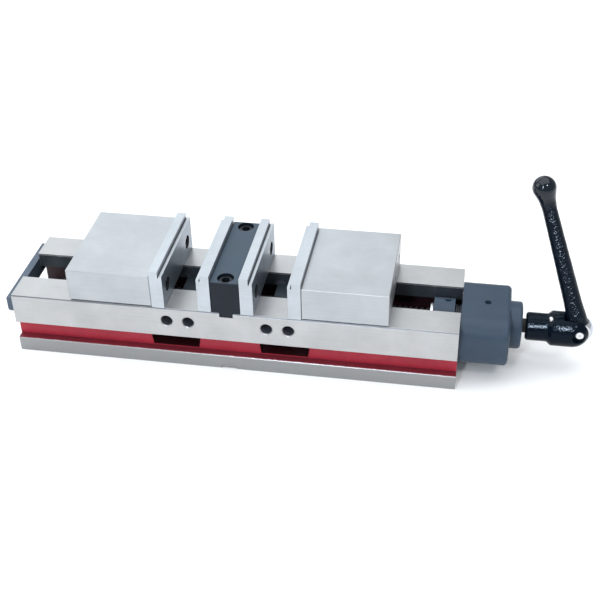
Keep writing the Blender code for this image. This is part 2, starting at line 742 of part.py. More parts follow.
def build_steady(hand, side):
    low, high = span(side, STEADY_INNER, STEADY_OUTER)
    steady = outline_solid(f"steady_{hand}", steady_section(), low, high, "X")
    x = side * STEADY_SCREW_X
    cut(steady, rod(f"cut_steady_{hand}_bore", (low - 0.005, 0, SCREW_Z),
                    (high + 0.005, 0, SCREW_Z), MIDDLE_RADIUS + BORE_GAP, CUTTERS))
    cut(steady, rod(f"cut_steady_{hand}_thread", (x, 0, STEADY_LOW - 0.005),
                    (x, 0, STEADY_SCREW_TIP + 0.002), STEADY_SCREW_RADIUS + BORE_GAP,
                    CUTTERS, sides=16))
    screw = cap_screw(f"steady_screw_{hand}", (x, 0, STEADY_HEAD_LOW), (x, 0, STEADY_SCREW_TIP),
                      STEADY_HEAD_RADIUS, STEADY_HEAD_LENGTH, STEADY_SCREW_RADIUS, 0.0029)
    return steady, screw


def radial(angle, distance, x):
    """Point at a distance from the screw axis, angle in degrees from +Y toward +Z."""
    turn = math.radians(angle)
    return (x, distance * math.cos(turn), SCREW_Z + distance * math.sin(turn))


def build_thrust_set():
    axis = (0, 0, SCREW_Z)
    bore = JOURNAL_RADIUS + BORE_GAP
    washer = turned("thrust_washer", ring_profile(bore, WASHER_RADIUS, *WASHER), axis, ring=True)
    collar = turned("thrust_collar", ring_profile(bore, COLLAR_RADIUS, *COLLAR), axis,
                    ring=True, sides=32)
    angle = 90.0 - COLLAR_HOLE_TILT
    cut(collar, rod("cut_collar_hole", radial(angle, 0.005, COLLAR_HOLE_X),
                    radial(angle, 0.025, COLLAR_HOLE_X), COLLAR_HOLE_RADIUS, CUTTERS, sides=16))
    grub = set_screw("collar_set_screw", radial(angle, 0.0155, COLLAR_HOLE_X),
                     radial(angle, JOURNAL_RADIUS + 0.0004, COLLAR_HOLE_X),
                     COLLAR_HOLE_RADIUS - GAP, 0.0012)
    inner = turned("bearing_race_inner", ring_profile(bore, RACE_RADIUS, *RACE_INNER), axis,
                   ring=True)
    cage = turned("bearing_cage", ring_profile(bore, RACE_RADIUS - 0.0006, *CAGE), axis,
                  ring=True)
    outer = turned("bearing_race_outer", ring_profile(bore, RACE_RADIUS, *RACE_OUTER), axis,
                   ring=True)
    return [washer, collar, grub, inner, cage, outer]


# ---------------------------------------------------------------- bearing housing
def boss_profile():
    points = [(0.0, BOSS_END)]
    fillet = arc((BOSS_RADIUS - BOSS_FILLET, BOSS_END - BOSS_FILLET), BOSS_FILLET, 90, 0, 3)
    points += fillet
    points += [(BOSS_RADIUS, HOUSING_RIGHT - 0.006), (0.0, HOUSING_RIGHT - 0.006)]
    return points


def build_housing():
    outline = rounded_rectangle(HOUSING_HALF, HOUSING_LOW, HOUSING_TOP, HOUSING_CORNER)
    housing = outline_solid("bearing_housing", outline, HOUSING_LEFT - 0.01, HOUSING_RIGHT, "X")
    bevel(housing, HOUSING_FILLET, 2)
    cut(housing, block("cut_housing_face", (HOUSING_LEFT - 0.02, -0.06, 0.0),
                       (HOUSING_LEFT, 0.06, 0.08), CUTTERS))
    boss = turned("add_boss", boss_profile(), (0, 0, SCREW_Z), collection=CUTTERS, sides=32)
    combine(housing, boss, "UNION")
    cut(housing, rod("cut_housing_bore", (HOUSING_LEFT - 0.01, 0, SCREW_Z),
                     (HOUSING_BORE_END, 0, SCREW_Z), HOUSING_BORE + BORE_GAP, CUTTERS))
    cut(housing, rod("cut_neck_bore", (HOUSING_BORE_END - 0.005, 0, SCREW_Z),
                     (BOSS_END + 0.005, 0, SCREW_Z), NECK_RADIUS + 0.0004, CUTTERS))
    cut(housing, rod("cut_retainer_hole", (RETAINER_X, 0, SCREW_Z + 0.005),
                     (RETAINER_X, 0, HOUSING_TOP + 0.005), RETAINER_RADIUS + BORE_GAP,
                     CUTTERS, sides=16))
    for index, (y, z) in enumerate(HOUSING_SCREWS):
        cut(housing, rod(f"cut_housing_bore_{index}",
                         (HOUSING_RIGHT - HOUSING_HEAD_DEPTH - 0.001, y, z),
                         (HOUSING_RIGHT + 0.005, y, z), HOUSING_HEAD_RADIUS + 0.0004,
                         CUTTERS, sides=16))
        cut(housing, rod(f"cut_housing_hole_{index}", (HOUSING_LEFT - 0.005, y, z),
                         (HOUSING_RIGHT, y, z), HOUSING_SCREW_RADIUS + BORE_GAP,
                         CUTTERS, sides=16))
    return housing


def build_housing_fittings():
    axis = (0, 0, SCREW_Z)
    bush = turned("bush", ring_profile(JOURNAL_RADIUS + BORE_GAP, BUSH_RADIUS, *BUSH), axis,
                  ring=True)
    cut(bush, rod("cut_bush_hole", (RETAINER_X, 0, SCREW_Z + 0.005),
                  (RETAINER_X, 0, HOUSING_TOP), RETAINER_RADIUS + BORE_GAP, CUTTERS, sides=16))
    retainer = set_screw("retaining_screw", (RETAINER_X, 0, HOUSING_TOP - 0.0035),
                         (RETAINER_X, 0, SCREW_Z + 0.0073), RETAINER_RADIUS, 0.0015)
    screws = []
    names = ("top_back", "top_front", "low_back", "low_front")
    for (y, z), place_name in zip(HOUSING_SCREWS, names):
        start = HOUSING_RIGHT - 0.001 + GAP
        screws.append(cap_screw(f"housing_screw_{place_name}", (start, y, z),
                                (HOUSING_SCREW_END, y, z), HOUSING_HEAD_RADIUS,
                                HOUSING_HEAD_DEPTH, HOUSING_SCREW_RADIUS, 0.0022))
    return [bush, retainer] + screws


# ---------------------------------------------------------------- crank
def build_socket():
    end_arc = arc((0.0, CLEVIS_BALL_X), CLEVIS_RADIUS, 90, 0, 8)
    profile = end_arc + [
        (CLEVIS_RADIUS, SOCKET_CONE[1]),
        (SOCKET_RADIUS, SOCKET_CONE[0]),
        (SOCKET_RADIUS, SOCKET_LEFT + 0.0015),
        (SOCKET_RADIUS - 0.0015, SOCKET_LEFT),
        (0.0, SOCKET_LEFT),
    ]
    socket = turned("handle_socket", profile, (0, 0, SCREW_Z), sides=28)
    cut(socket, rod("cut_socket_hexagon", (SOCKET_LEFT - 0.005, 0, SCREW_Z),
                    (SOCKET_BORE_END, 0, SCREW_Z), HEX_CORNER + 0.00035, CUTTERS, sides=6))
    cut(socket, block("cut_clevis_slot", (SLOT_LEFT, -SLOT_HALF, 0.0),
                      (0.34, SLOT_HALF, 0.08), CUTTERS))
    cut(socket, rod("cut_pin_hole", (PIVOT_X, -0.03, PIVOT_Z), (PIVOT_X, 0.03, PIVOT_Z),
                    PIN_RADIUS + BORE_GAP, CUTTERS, sides=16))
    for side in (-1, 1):
        cut(socket, rod(f"cut_spotface_{side}", (PIVOT_X, side * SPOTFACE_HALF, PIVOT_Z),
                        (PIVOT_X, side * 0.03, PIVOT_Z), SPOTFACE_RADIUS, CUTTERS, sides=16))
    cut(socket, ball("cut_detent", radial(DETENT_ANGLE, DETENT_OUT, DETENT_X),
                     DETENT_RADIUS + GAP, CUTTERS, 12, 8))
    return socket


def build_detent():
    return ball("detent_ball", radial(DETENT_ANGLE, DETENT_OUT, DETENT_X), DETENT_RADIUS,
                PARTS, 12, 8)


def build_pin():
    pin = rod("handle_pin", (PIVOT_X, -PIN_HALF, PIVOT_Z), (PIVOT_X, PIN_HALF, PIVOT_Z),
              PIN_RADIUS, sides=20)
    return pin


def arm_profile():
    """From the far side of the knob down the outside of the arm to the eye."""
    points = arc((0.0, ARM_LENGTH), KNOB_RADIUS, 90, -20, 8)
    points += [
        (0.00886, ARM_LENGTH - 0.0054),
        (0.00827, ARM_LENGTH - 0.0074),
        (0.0072, ARM_LENGTH - 0.0114),
        (0.0067, ARM_LENGTH - 0.0154),
        (0.0063, ARM_LENGTH - 0.0194),
        (0.0062, ARM_LENGTH - 0.0264),
        (0.0065, 0.1),
        (0.0069, 0.08),
        (0.0073, 0.06),
        (0.0076, 0.04),
        (0.0079, 0.028),
        (0.0084, 0.019),
        (0.0093, 0.0115),
    ]
    points += arc((0.0, 0.0), EYE_RADIUS, 38, -90, 8)
    return points


def build_arm():
    arm = turned("handle_arm", arm_profile(), (PIVOT_X, 0, PIVOT_Z), "Z")
    arm.rotation_euler = (0.0, math.radians(ARM_LEAN), 0.0)
    lean = Matrix.Rotation(math.radians(ARM_LEAN), 4, "Y")
    frame = Matrix.Translation((PIVOT_X, 0, PIVOT_Z)) @ lean
    for side in (-1, 1):
        near, far = sorted((side * EYE_HALF, side * 0.02))
        cheek = block(f"cut_eye_{side}", (-0.02, near, -0.02), (0.02, far, EYE_FLAT_TOP), CUTTERS)
        cheek.matrix_world = frame
        cut(arm, cheek)
    cut(arm, rod("cut_eye_hole", (PIVOT_X, -0.03, PIVOT_Z), (PIVOT_X, 0.03, PIVOT_Z),
                 PIN_RADIUS + BORE_GAP, CUTTERS, sides=16))
    return arm


# ---------------------------------------------------------------- finish and assembly
def finish(pieces, name):
    """Give each piece its own material in the named finish."""
    colour, roughness, metallic = FINISHES[name]
    for piece in pieces:
        material = bpy.data.materials.new(piece.name)
        material.use_nodes = True
        shader = material.node_tree.nodes["Principled BSDF"]
        shader.inputs["Base Color"].default_value = (*colour, 1.0)
        shader.inputs["Roughness"].default_value = roughness
        shader.inputs["Metallic"].default_value = metallic
        material.diffuse_color = (*colour, 1.0)
        piece.data.materials.append(material)
    return pieces


def hang(pieces, name, position, parent=None):
    """Parent moving pieces to an empty that stands on their joint."""
    empty = bpy.data.objects.new(name, None)
    PARTS.objects.link(empty)
    empty.location = position
    bpy.context.view_layer.update()
    if parent is not None:
        empty.parent = parent
        empty.matrix_parent_inverse = parent.matrix_world.inverted()
    bpy.context.view_layer.update()
    for piece in pieces:
        piece.parent = empty
        piece.matrix_parent_inverse = empty.matrix_world.inverted()
    return empty


def build_base():
    finish([build_bed()], "ground_iron")
    plate, *screws = build_end_plate()
    finish([plate], "slate_enamel")
    finish(screws, "black_oxide")
    finish([build_centre_jaw()], "black_oxide")
    finish(build_centre_screws(), "black_oxide")
    for name, side in (("centre_plate_left", -1), ("centre_plate_right", 1)):
        plate, *screws = build_plate(name, side * CENTRE_PLATE_BACK, side, True)
        finish([plate], "hardened_steel")
        finish(screws, "black_oxide")
    finish([build_housing()], "slate_enamel")
    bush, *screws = build_housing_fittings()
    finish([bush], "bronze")
    finish(screws, "black_oxide")
    for hand, side in (("left", -1), ("right", 1)):
        steady, screw = build_steady(hand, side)
        finish([steady], "slate_enamel")
        finish([screw], "black_oxide")


def build_moving_jaw(hand, side):
    jaw = build_jaw(f"jaw_{hand}", side)
    plate, *screws = build_plate(f"jaw_plate_{hand}", side * MOVING_PLATE_BACK, -side)
    nut = build_nut(f"nut_{hand}", side)
    segment = build_segment(f"lock_segment_{hand}", side)
    adjuster = build_adjuster(f"adjusting_screw_{hand}", side)
    finish([jaw], "ground_steel")
    finish([plate], "hardened_steel")
    finish(screws + [adjuster], "black_oxide")
    finish([nut], "ground_iron")
    finish([segment], "bright_steel")
    hang([jaw, plate, nut, segment, adjuster] + screws, f"slide_{hand}", (side * 0.1, 0, SCREW_Z))


def build_drive():
    screw = build_screw()
    washer, collar, grub, inner, cage, outer = build_thrust_set()
    finish([washer, inner, cage, outer], "bright_steel")
    finish([collar], "slate_enamel")
    finish([screw, grub], "black_oxide")
    axis = hang([screw, washer, collar, grub, inner, cage], "screw_axis", (0, 0, SCREW_Z))
    socket, detent, pin, arm = build_socket(), build_detent(), build_pin(), build_arm()
    finish([socket, arm], "black_enamel")
    finish([detent, pin], "bright_steel")
    slide = hang([socket, detent, pin], "socket_slide", (SOCKET_LEFT, 0, SCREW_Z), axis)
    hang([arm], "handle_pivot", (PIVOT_X, 0, PIVOT_Z), slide)


build_base()
build_moving_jaw("left", -1)
build_moving_jaw("right", 1)
build_drive()
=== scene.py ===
"""Looks of a double-station machine vise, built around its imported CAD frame."""
import json
import math

import bmesh
import bpy
from mathutils import Matrix, Vector, noise


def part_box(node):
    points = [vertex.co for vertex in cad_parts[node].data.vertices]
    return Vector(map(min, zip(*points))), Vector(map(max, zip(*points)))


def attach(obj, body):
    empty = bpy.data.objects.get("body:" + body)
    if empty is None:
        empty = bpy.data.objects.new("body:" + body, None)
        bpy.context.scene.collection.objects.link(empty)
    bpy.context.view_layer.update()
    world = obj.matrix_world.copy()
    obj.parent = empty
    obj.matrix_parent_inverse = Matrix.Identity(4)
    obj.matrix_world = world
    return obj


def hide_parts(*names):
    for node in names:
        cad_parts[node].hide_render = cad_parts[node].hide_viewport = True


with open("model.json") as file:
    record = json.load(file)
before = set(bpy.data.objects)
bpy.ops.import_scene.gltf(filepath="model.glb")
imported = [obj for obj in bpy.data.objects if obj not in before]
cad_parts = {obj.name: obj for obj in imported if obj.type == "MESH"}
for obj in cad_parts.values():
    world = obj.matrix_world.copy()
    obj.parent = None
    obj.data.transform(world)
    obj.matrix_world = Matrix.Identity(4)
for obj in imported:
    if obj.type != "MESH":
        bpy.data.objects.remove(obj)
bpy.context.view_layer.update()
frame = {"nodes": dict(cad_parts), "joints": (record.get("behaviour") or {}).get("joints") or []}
NODES = frame["nodes"]
JOINTS = {joint["name"]: joint for joint in frame["joints"]}

# Camera
CAMERA_PLACE = (0.2116, -0.8197, 0.6431)
CAMERA_RIGHT = (0.9852, 0.1702, -0.0207)
CAMERA_UP = (-0.0824, 0.5761, 0.8132)
CAMERA_LENS = 66.9
SENSOR_WIDTH = 36.0

# Axes of the moving pieces, from the joints
SCREW_AXIS = Vector(JOINTS["screw_turn"]["pos_m"])
PIVOT = Vector(JOINTS["handle_fold"]["pos_m"])
ARM_LEAN = math.radians(-17.85)
ARM_DIRECTION = Vector((math.sin(ARM_LEAN), 0.0, math.cos(ARM_LEAN)))

# Screw thread
LEAD = 0.005
THREAD_DEPTH = 0.0019
THREAD_STEPS = 12
THREAD_SIDES = 36

SCREW_MIDDLE_END = 0.0565
SCREW_MIDDLE_RADIUS = 0.0078
THREAD_START = 0.0577
JOURNAL_RADIUS = 0.0085
JOURNAL_END = 0.2470
RETAINING_RADIUS = 0.0068
RETAINING_HALF = 0.0032
NECK_RADIUS = 0.0064
NECK_END = 0.2616
HEX_RADIUS = 0.0062
HEX_START = 0.2560
RING_BORE = 0.0088

# Bearing housing
HOUSING_END = 0.2482
HOUSING_LOW = 0.015
HOUSING_TOP = 0.0616
HOUSING_CORNER = 0.016
HOUSING_ROUND = 0.0038
HULL_MARGIN = 0.00002
BOSS_CLEARANCE = 0.0218

# Crank and socket
ARM_LENGTH = 0.1474
KNOB_RADIUS = 0.00994
EYE_RADIUS = 0.0119
EYE_HALF_WIDTH = 0.0069
CHEEK_REACH = 0.02
CHEEK_LENGTH = 0.03
CHEEK_TOP = 0.0180
CAST_LOW = 0.016
CAST_HIGH = 0.138
LUMP_HEIGHT = 0.0001
PIN_HOLE_RADIUS = 0.0041
SOCKET_RADIUS = 0.0127
CONE = (0.2812, 0.2845, 0.2852)
SLOT_START = 0.295
SLOT_HALF = 0.0072

# Places on the bed where its finish or its painted shade changes: |x|, |y| and z ranges
BED_MIDDLE_REACH = (0.2022, 0.2025)
GROOVE_BAND = (0.0139, 0.0316)
GROOVE_DEPTH = (0.0436, 0.0503)
WEB_DEPTH = (0.0306, 0.0437)
CHANNEL_DEPTH = (-0.001, 0.0315)
CHANNEL_TOP = (0.0598, 0.0606)
CAVITY_TOP = (0.044, 0.048)
SIDE_HOLES = ((0.0357, 0.0481), (0.0555, 0.0481))
SIDE_HOLE_RADIUS = 0.0053
KEYWAY = ((-0.001, 0.0075), (-0.001, 0.0027), (0.0365, 0.0506))
LEDGE_TOP = (0.0148, 0.0156)
FLANGE_TOP = (0.0132, 0.0138)

# Looks
WORLD_STRENGTH = 0.5
GRAIN_SCALE = 620.0
WELD_DISTANCE = 0.000002
WORLD_TINT = (0.92, 0.96, 1.0)
WHITE = (1.0, 1.0, 1.0)
# Area lights: name, place, target, size, watts, tint
LIGHTS = (
    ("overhead", (0.0, 0.1, 1.5), (0.05, 0.0, 0.05), (2.2, 1.6), 22.0, WHITE),
    ("back_panel", (-0.95, 1.7, 1.25), (0.0, 0.0, 0.08), (2.4, 1.2), 12.0, (0.93, 0.97, 1.0)),
    ("left_box", (-1.5, -0.2, 0.9), (0.0, 0.0, 0.05), (1.0, 0.9), 8.0, WHITE),
    ("spark", (0.75, -0.75, 1.15), (0.3, 0.0, 0.08), (0.16, 0.16), 4.0, WHITE),
    ("low_strip", (-0.10, -1.15, 0.85), (0.29, 0.0, 0.10), (0.07, 0.6), 7.0, (0.85, 0.92, 1.0)),
)
FLAT_ANGLE = math.radians(0.3)
SMOOTH_ANGLE = math.radians(32.0)


# ---------------------------------------------------------------- node helpers
def set_input(tree, shader_node, key, value):
    """Links a socket, or sets a plain value, on an input."""
    socket = shader_node.inputs[key]
    if isinstance(value, bpy.types.NodeSocket):
        tree.links.new(value, socket)
    else:
        socket.default_value = value


def add_node(tree, kind, options=None, **inputs):
    made = tree.nodes.new(kind)
    for key, value in (options or {}).items():
        setattr(made, key, value)
    for key, value in inputs.items():
        set_input(tree, made, key.replace("_", " "), value)
    return made


def math_node(tree, operation, first, second=0.5, third=None, clamp=False):
    made = tree.nodes.new("ShaderNodeMath")
    made.operation = operation
    made.use_clamp = clamp
    for index, value in enumerate((first, second, third)):
        if value is not None:
            set_input(tree, made, index, value)
    return made.outputs[0]


def object_position(tree, scale=(1.0, 1.0, 1.0), turn=(0.0, 0.0, 0.0)):
    place = add_node(tree, "ShaderNodeTexCoord").outputs["Object"]
    return add_node(tree, "ShaderNodeMapping", Vector=place, Scale=scale, Rotation=turn).outputs[0]


def noise_value(tree, vector, scale, detail=3.0, roughness=0.55):
    made = add_node(tree, "ShaderNodeTexNoise", Vector=vector, Scale=scale, Detail=detail,
                    Roughness=roughness)
    return made.outputs["Fac"]


def spread(tree, value, low, high, start=0.3, end=0.7):
    """Maps a noise value from its usual middle range to low..high."""
    made = add_node(tree, "ShaderNodeMapRange", {"clamp": True}, Value=value)
    for key, number in (("From Min", start), ("From Max", end), ("To Min", low), ("To Max", high)):
        made.inputs[key].default_value = number
    return made.outputs[0]


def mix_colour(tree, factor, first, second):
    made = tree.nodes.new("ShaderNodeMix")
    made.data_type = "RGBA"
    for index, value in ((0, factor), (6, first), (7, second)):
        set_input(tree, made, index, value)
    return made.outputs[2]


def colour(red, green, blue):
    return (red, green, blue, 1.0)


def bump(tree, height, distance, strength=1.0, normal=None):
    made = add_node(tree, "ShaderNodeBump", Height=height, Distance=distance, Strength=strength)
    if normal is not None:
        tree.links.new(normal, made.inputs["Normal"])
    return made.outputs[0]


def new_material(name):
    material = bpy.data.materials.new(name)
    material.use_nodes = True
    tree = material.node_tree
    return material, tree, tree.nodes["Principled BSDF"]


# ---------------------------------------------------------------- materials
def ground_layers(tree, along, tint, depth):
    """Colour, roughness and normal of a ground face with its grinding lines."""
    lines = noise_value(tree, object_position(tree, along), 1.0, 4.0, 0.6)
    cloud = noise_value(tree, object_position(tree), 26.0, 5.0, 0.62)
    grain = noise_value(tree, object_position(tree), 1500.0, 2.0, 0.5)
    dark = colour(*(part * 0.80 for part in tint))
    light = colour(*(min(part * 1.14, 1.0) for part in tint))
    tone = math_node(tree, "ADD", spread(tree, lines, 0.0, 0.4), spread(tree, cloud, 0.0, 0.6))
    shade = mix_colour(tree, tone, dark, light)
    rough = math_node(tree, "ADD", spread(tree, lines, 0.30, 0.42),
                      spread(tree, cloud, -0.04, 0.06))
    relief = bump(tree, lines, depth)
    relief = bump(tree, grain, depth * 0.5, 1.0, relief)
    return shade, rough, relief


def between(tree, value, low, high, soft=0.00015):
    """1 between low and high, 0 outside, with a narrow soft edge."""
    rise = spread(tree, value, 0.0, 1.0, low - soft, low + soft)
    fall = spread(tree, value, 1.0, 0.0, high - soft, high + soft)
    return math_node(tree, "MULTIPLY", rise, fall)


def mirrored_place(tree):
    """Object coordinates as |x|, |y| and z."""
    place = add_node(tree, "ShaderNodeTexCoord").outputs["Object"]
    split = add_node(tree, "ShaderNodeSeparateXYZ", Vector=place)
    return (math_node(tree, "ABSOLUTE", split.outputs[0]),
            math_node(tree, "ABSOLUTE", split.outputs[1]), split.outputs[2])


def from_bed_middle(tree):
    """Distance along the bed from the middle between its two end faces."""
    place = add_node(tree, "ShaderNodeTexCoord").outputs["Object"]
    split = add_node(tree, "ShaderNodeSeparateXYZ", Vector=place)
    low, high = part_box("bed")
    middle_x = (low[0] + high[0]) / 2
    return math_node(tree, "ABSOLUTE", math_node(tree, "SUBTRACT", split.outputs[0], middle_x))


def round_spot(tree, first, second, centre, radius):
    """1 within a radius of a point in the plane of two coordinates."""
    aside = math_node(tree, "SUBTRACT", first, centre[0])
    upward = math_node(tree, "SUBTRACT", second, centre[1])
    squares = math_node(tree, "ADD", math_node(tree, "MULTIPLY", aside, aside),
                        math_node(tree, "MULTIPLY", upward, upward))
    return spread(tree, math_node(tree, "SQRT", squares), 1.0, 0.0, radius - 0.0001, radius)


def largest(tree, *values):
    result = values[0]
    for value in values[1:]:
        result = math_node(tree, "MAXIMUM", result, value)
    return result


def product(tree, *values):
    result = values[0]
    for value in values[1:]:
        result = math_node(tree, "MULTIPLY", result, value)
    return result


def ground_metal(name, tint, along=(22.0, 2200.0, 2200.0), metallic=0.85, depth=0.00002,
                 recess_shade_mask=None):
    """Ground metal; an optional mask marks its bores and undercuts, which are toned near-black as
    painted shade.
    """
    material, tree, shader = new_material(name)
    shade, rough, relief = ground_layers(tree, along, tint, depth)
    if recess_shade_mask is not None:
        # painted reflection: the plates' gripping faces toned darker
        shade = mix_colour(tree, gripping_face_shade(tree), shade, colour(0.27, 0.31, 0.36))
        # painted shade: bores and undercuts toned near-black and not metallic
        painted_recess_dark = recess_shade_mask(tree)
        shade = mix_colour(tree, painted_recess_dark, shade, colour(0.014, 0.016, 0.020))
        metallic = math_node(tree, "MULTIPLY_ADD", painted_recess_dark, -metallic, metallic)
    set_input(tree, shader, "Base Color", shade)
    set_input(tree, shader, "Roughness", rough)
    set_input(tree, shader, "Normal", relief)
    set_input(tree, shader, "Metallic", metallic)
    return material


def gripping_face_shade(tree):
    """The plates' gripping faces, toned darker as the photograph's reflections show them."""
    along = mirrored_place(tree)[0]
    return largest(tree, between(tree, along, 0.02495, 0.0252, 0.00005),
                   between(tree, along, 0.05570, 0.05595, 0.00005))


def plate_recess_shade(tree):
    """The plates' screw bores and the undercut at the foot of each gripping ledge, where painted
    shade goes.
    """
    along, across, height = mirrored_place(tree)
    bores = round_spot(tree, across, height, (0.0349, 0.078), 0.00655)
    strips = largest(tree, between(tree, along, 0.02138, 0.02236, 0.00004),
                     between(tree, along, 0.05854, 0.05952, 0.00004))
    under = product(tree, strips, between(tree, height, 0.0940, 0.09572, 0.00004))
    return largest(tree, bores, under)


def bed_material():
    """Ground iron with red enamel in the clamping grooves; painted shade darkens its channel, chip
    windows, side holes, keyway, groove ledges and flange front, and a painted darker reflection
    tones its top chamfer.
    """
    material, tree, shader = new_material("bed_finish")
    shade, rough, relief = ground_layers(tree, (22.0, 2200.0, 2200.0), (0.455, 0.46, 0.465),
                                         0.00002)
    along, side, level = mirrored_place(tree)
    wander = spread(tree, noise_value(tree, object_position(tree), 240.0, 2.0), -0.0002, 0.0002)
    across = math_node(tree, "ADD", side, wander)
    height = math_node(tree, "ADD", level, wander)
    clouds = noise_value(tree, object_position(tree), 60.0, 5.0, 0.65)
    band = between(tree, height, *GROOVE_BAND)
    groove = product(tree, between(tree, across, *GROOVE_DEPTH), band)
    inside = product(tree, spread(tree, from_bed_middle(tree), 1.0, 0.0, *BED_MIDDLE_REACH),
                     spread(tree, level, 0.0, 1.0, 0.0002, 0.0004))
    window_shade = product(tree, between(tree, across, *WEB_DEPTH), band, inside)
    channel = product(tree, between(tree, across, *CHANNEL_DEPTH), inside,
                      spread(tree, height, 1.0, 0.0, *CHANNEL_TOP))
    cavity = product(tree, channel, spread(tree, level, 1.0, 0.0, *CAVITY_TOP))
    spots = [round_spot(tree, along, level, place, SIDE_HOLE_RADIUS) for place in SIDE_HOLES]
    hole_shade = product(tree, largest(tree, *spots),
                    spread(tree, side, 1.0, 0.0, 0.0505, 0.0506))
    # painted reflection: the bed's top chamfer toned darker grey
    chamfer_reflection = product(tree, spread(tree, side, 0.0, 1.0, 0.04985, 0.04995),
                      spread(tree, level, 0.0, 1.0, 0.06085, 0.06095))
    paint = mix_colour(tree, clouds, colour(0.27, 0.014, 0.030), colour(0.42, 0.026, 0.046))
    # painted shade: the grooves' ledges under the rails take a darker red
    ledge = mix_colour(tree, clouds, colour(0.12, 0.012, 0.020), colour(0.20, 0.022, 0.034))
    paint = mix_colour(tree, spread(tree, level, 1.0, 0.0, *LEDGE_TOP), paint, ledge)
    # painted shade: the channel's walls take a near-black tone, and the cavity below a near-black
    # red over its red enamel
    cast = mix_colour(tree, clouds, colour(0.016, 0.021, 0.027), colour(0.050, 0.060, 0.072))
    inner = mix_colour(tree, clouds, colour(0.020, 0.007, 0.011), colour(0.045, 0.016, 0.022))
    cast = mix_colour(tree, cavity, cast, inner)
    # painted shade: the flange's front face toned darker
    flange_shade = product(tree, spread(tree, side, 0.0, 1.0, 0.0502, 0.0505),
                     spread(tree, level, 1.0, 0.0, *FLANGE_TOP))
    shade = mix_colour(tree, flange_shade, shade, colour(0.30, 0.305, 0.31))
    shade = mix_colour(tree, chamfer_reflection, shade, colour(0.20, 0.215, 0.235))
    shade = mix_colour(tree, channel, shade, cast)
    shade = mix_colour(tree, groove, shade, paint)
    # painted shade: the chip windows' insides near-black red, their red enamel darkened as shade
    shade = mix_colour(tree, window_shade, shade, colour(0.030, 0.004, 0.006))
    # painted shade: the side holes toned dark inside
    shade = mix_colour(tree, hole_shade, shade, colour(0.070, 0.076, 0.092))
    # painted shade: the keyway notch toned dark inside
    keyway_shade = product(tree, *(between(tree, place, *reach)
                             for place, reach in zip((along, level, side), KEYWAY)))
    shade = mix_colour(tree, keyway_shade, shade, colour(0.045, 0.030, 0.032))
    covered = largest(tree, groove, channel, window_shade, hole_shade, keyway_shade)
    peel = noise_value(tree, object_position(tree), 420.0, 3.0)
    rough = math_node(tree, "MULTIPLY_ADD", covered, spread(tree, peel, 0.0, 0.14), rough)
    set_input(tree, shader, "Base Color", shade)
    set_input(tree, shader, "Roughness", rough)
    set_input(tree, shader, "Metallic", math_node(tree, "MULTIPLY_ADD", covered, -0.85, 0.85))
    skin = math_node(tree, "MULTIPLY", peel, covered)
    set_input(tree, shader, "Normal", bump(tree, skin, 0.00008, 1.0, relief))
    shader.inputs["Specular IOR Level"].default_value = 0.3
    return material


def coated(name, dark, light, roughness, metallic, grain_scale, grain_depth, specular=0.3,
           upper=None):
    """An even coating with slight clouds and fine grain; upper is a painted lighter tone on upward
    faces, standing for light from above.
    """
    material, tree, shader = new_material(name)
    clouds = noise_value(tree, object_position(tree), 55.0, 5.0, 0.62)
    grain = noise_value(tree, object_position(tree), grain_scale, 3.0, 0.6)
    tone = math_node(tree, "ADD", spread(tree, clouds, 0.0, 0.7), spread(tree, grain, 0.0, 0.3))
    shade = mix_colour(tree, tone, colour(*dark), colour(*light))
    # painted light: faces that point up take the lighter upper tone
    if upper is not None:
        facing = add_node(tree, "ShaderNodeNewGeometry").outputs["Normal"]
        rise = add_node(tree, "ShaderNodeSeparateXYZ", Vector=facing).outputs[2]
        bright = mix_colour(tree, tone, colour(*(part * 0.85 for part in upper)), colour(*upper))
        shade = mix_colour(tree, spread(tree, rise, 0.0, 1.0, 0.5, 0.95), shade, bright)
    set_input(tree, shader, "Base Color", shade)
    rough = math_node(tree, "ADD", spread(tree, clouds, roughness - 0.05, roughness + 0.05),
                      spread(tree, grain, -0.03, 0.03))
    set_input(tree, shader, "Roughness", rough)
    set_input(tree, shader, "Metallic", metallic)
    set_input(tree, shader, "Normal", bump(tree, grain, grain_depth))
    shader.inputs["Specular IOR Level"].default_value = specular
    return material


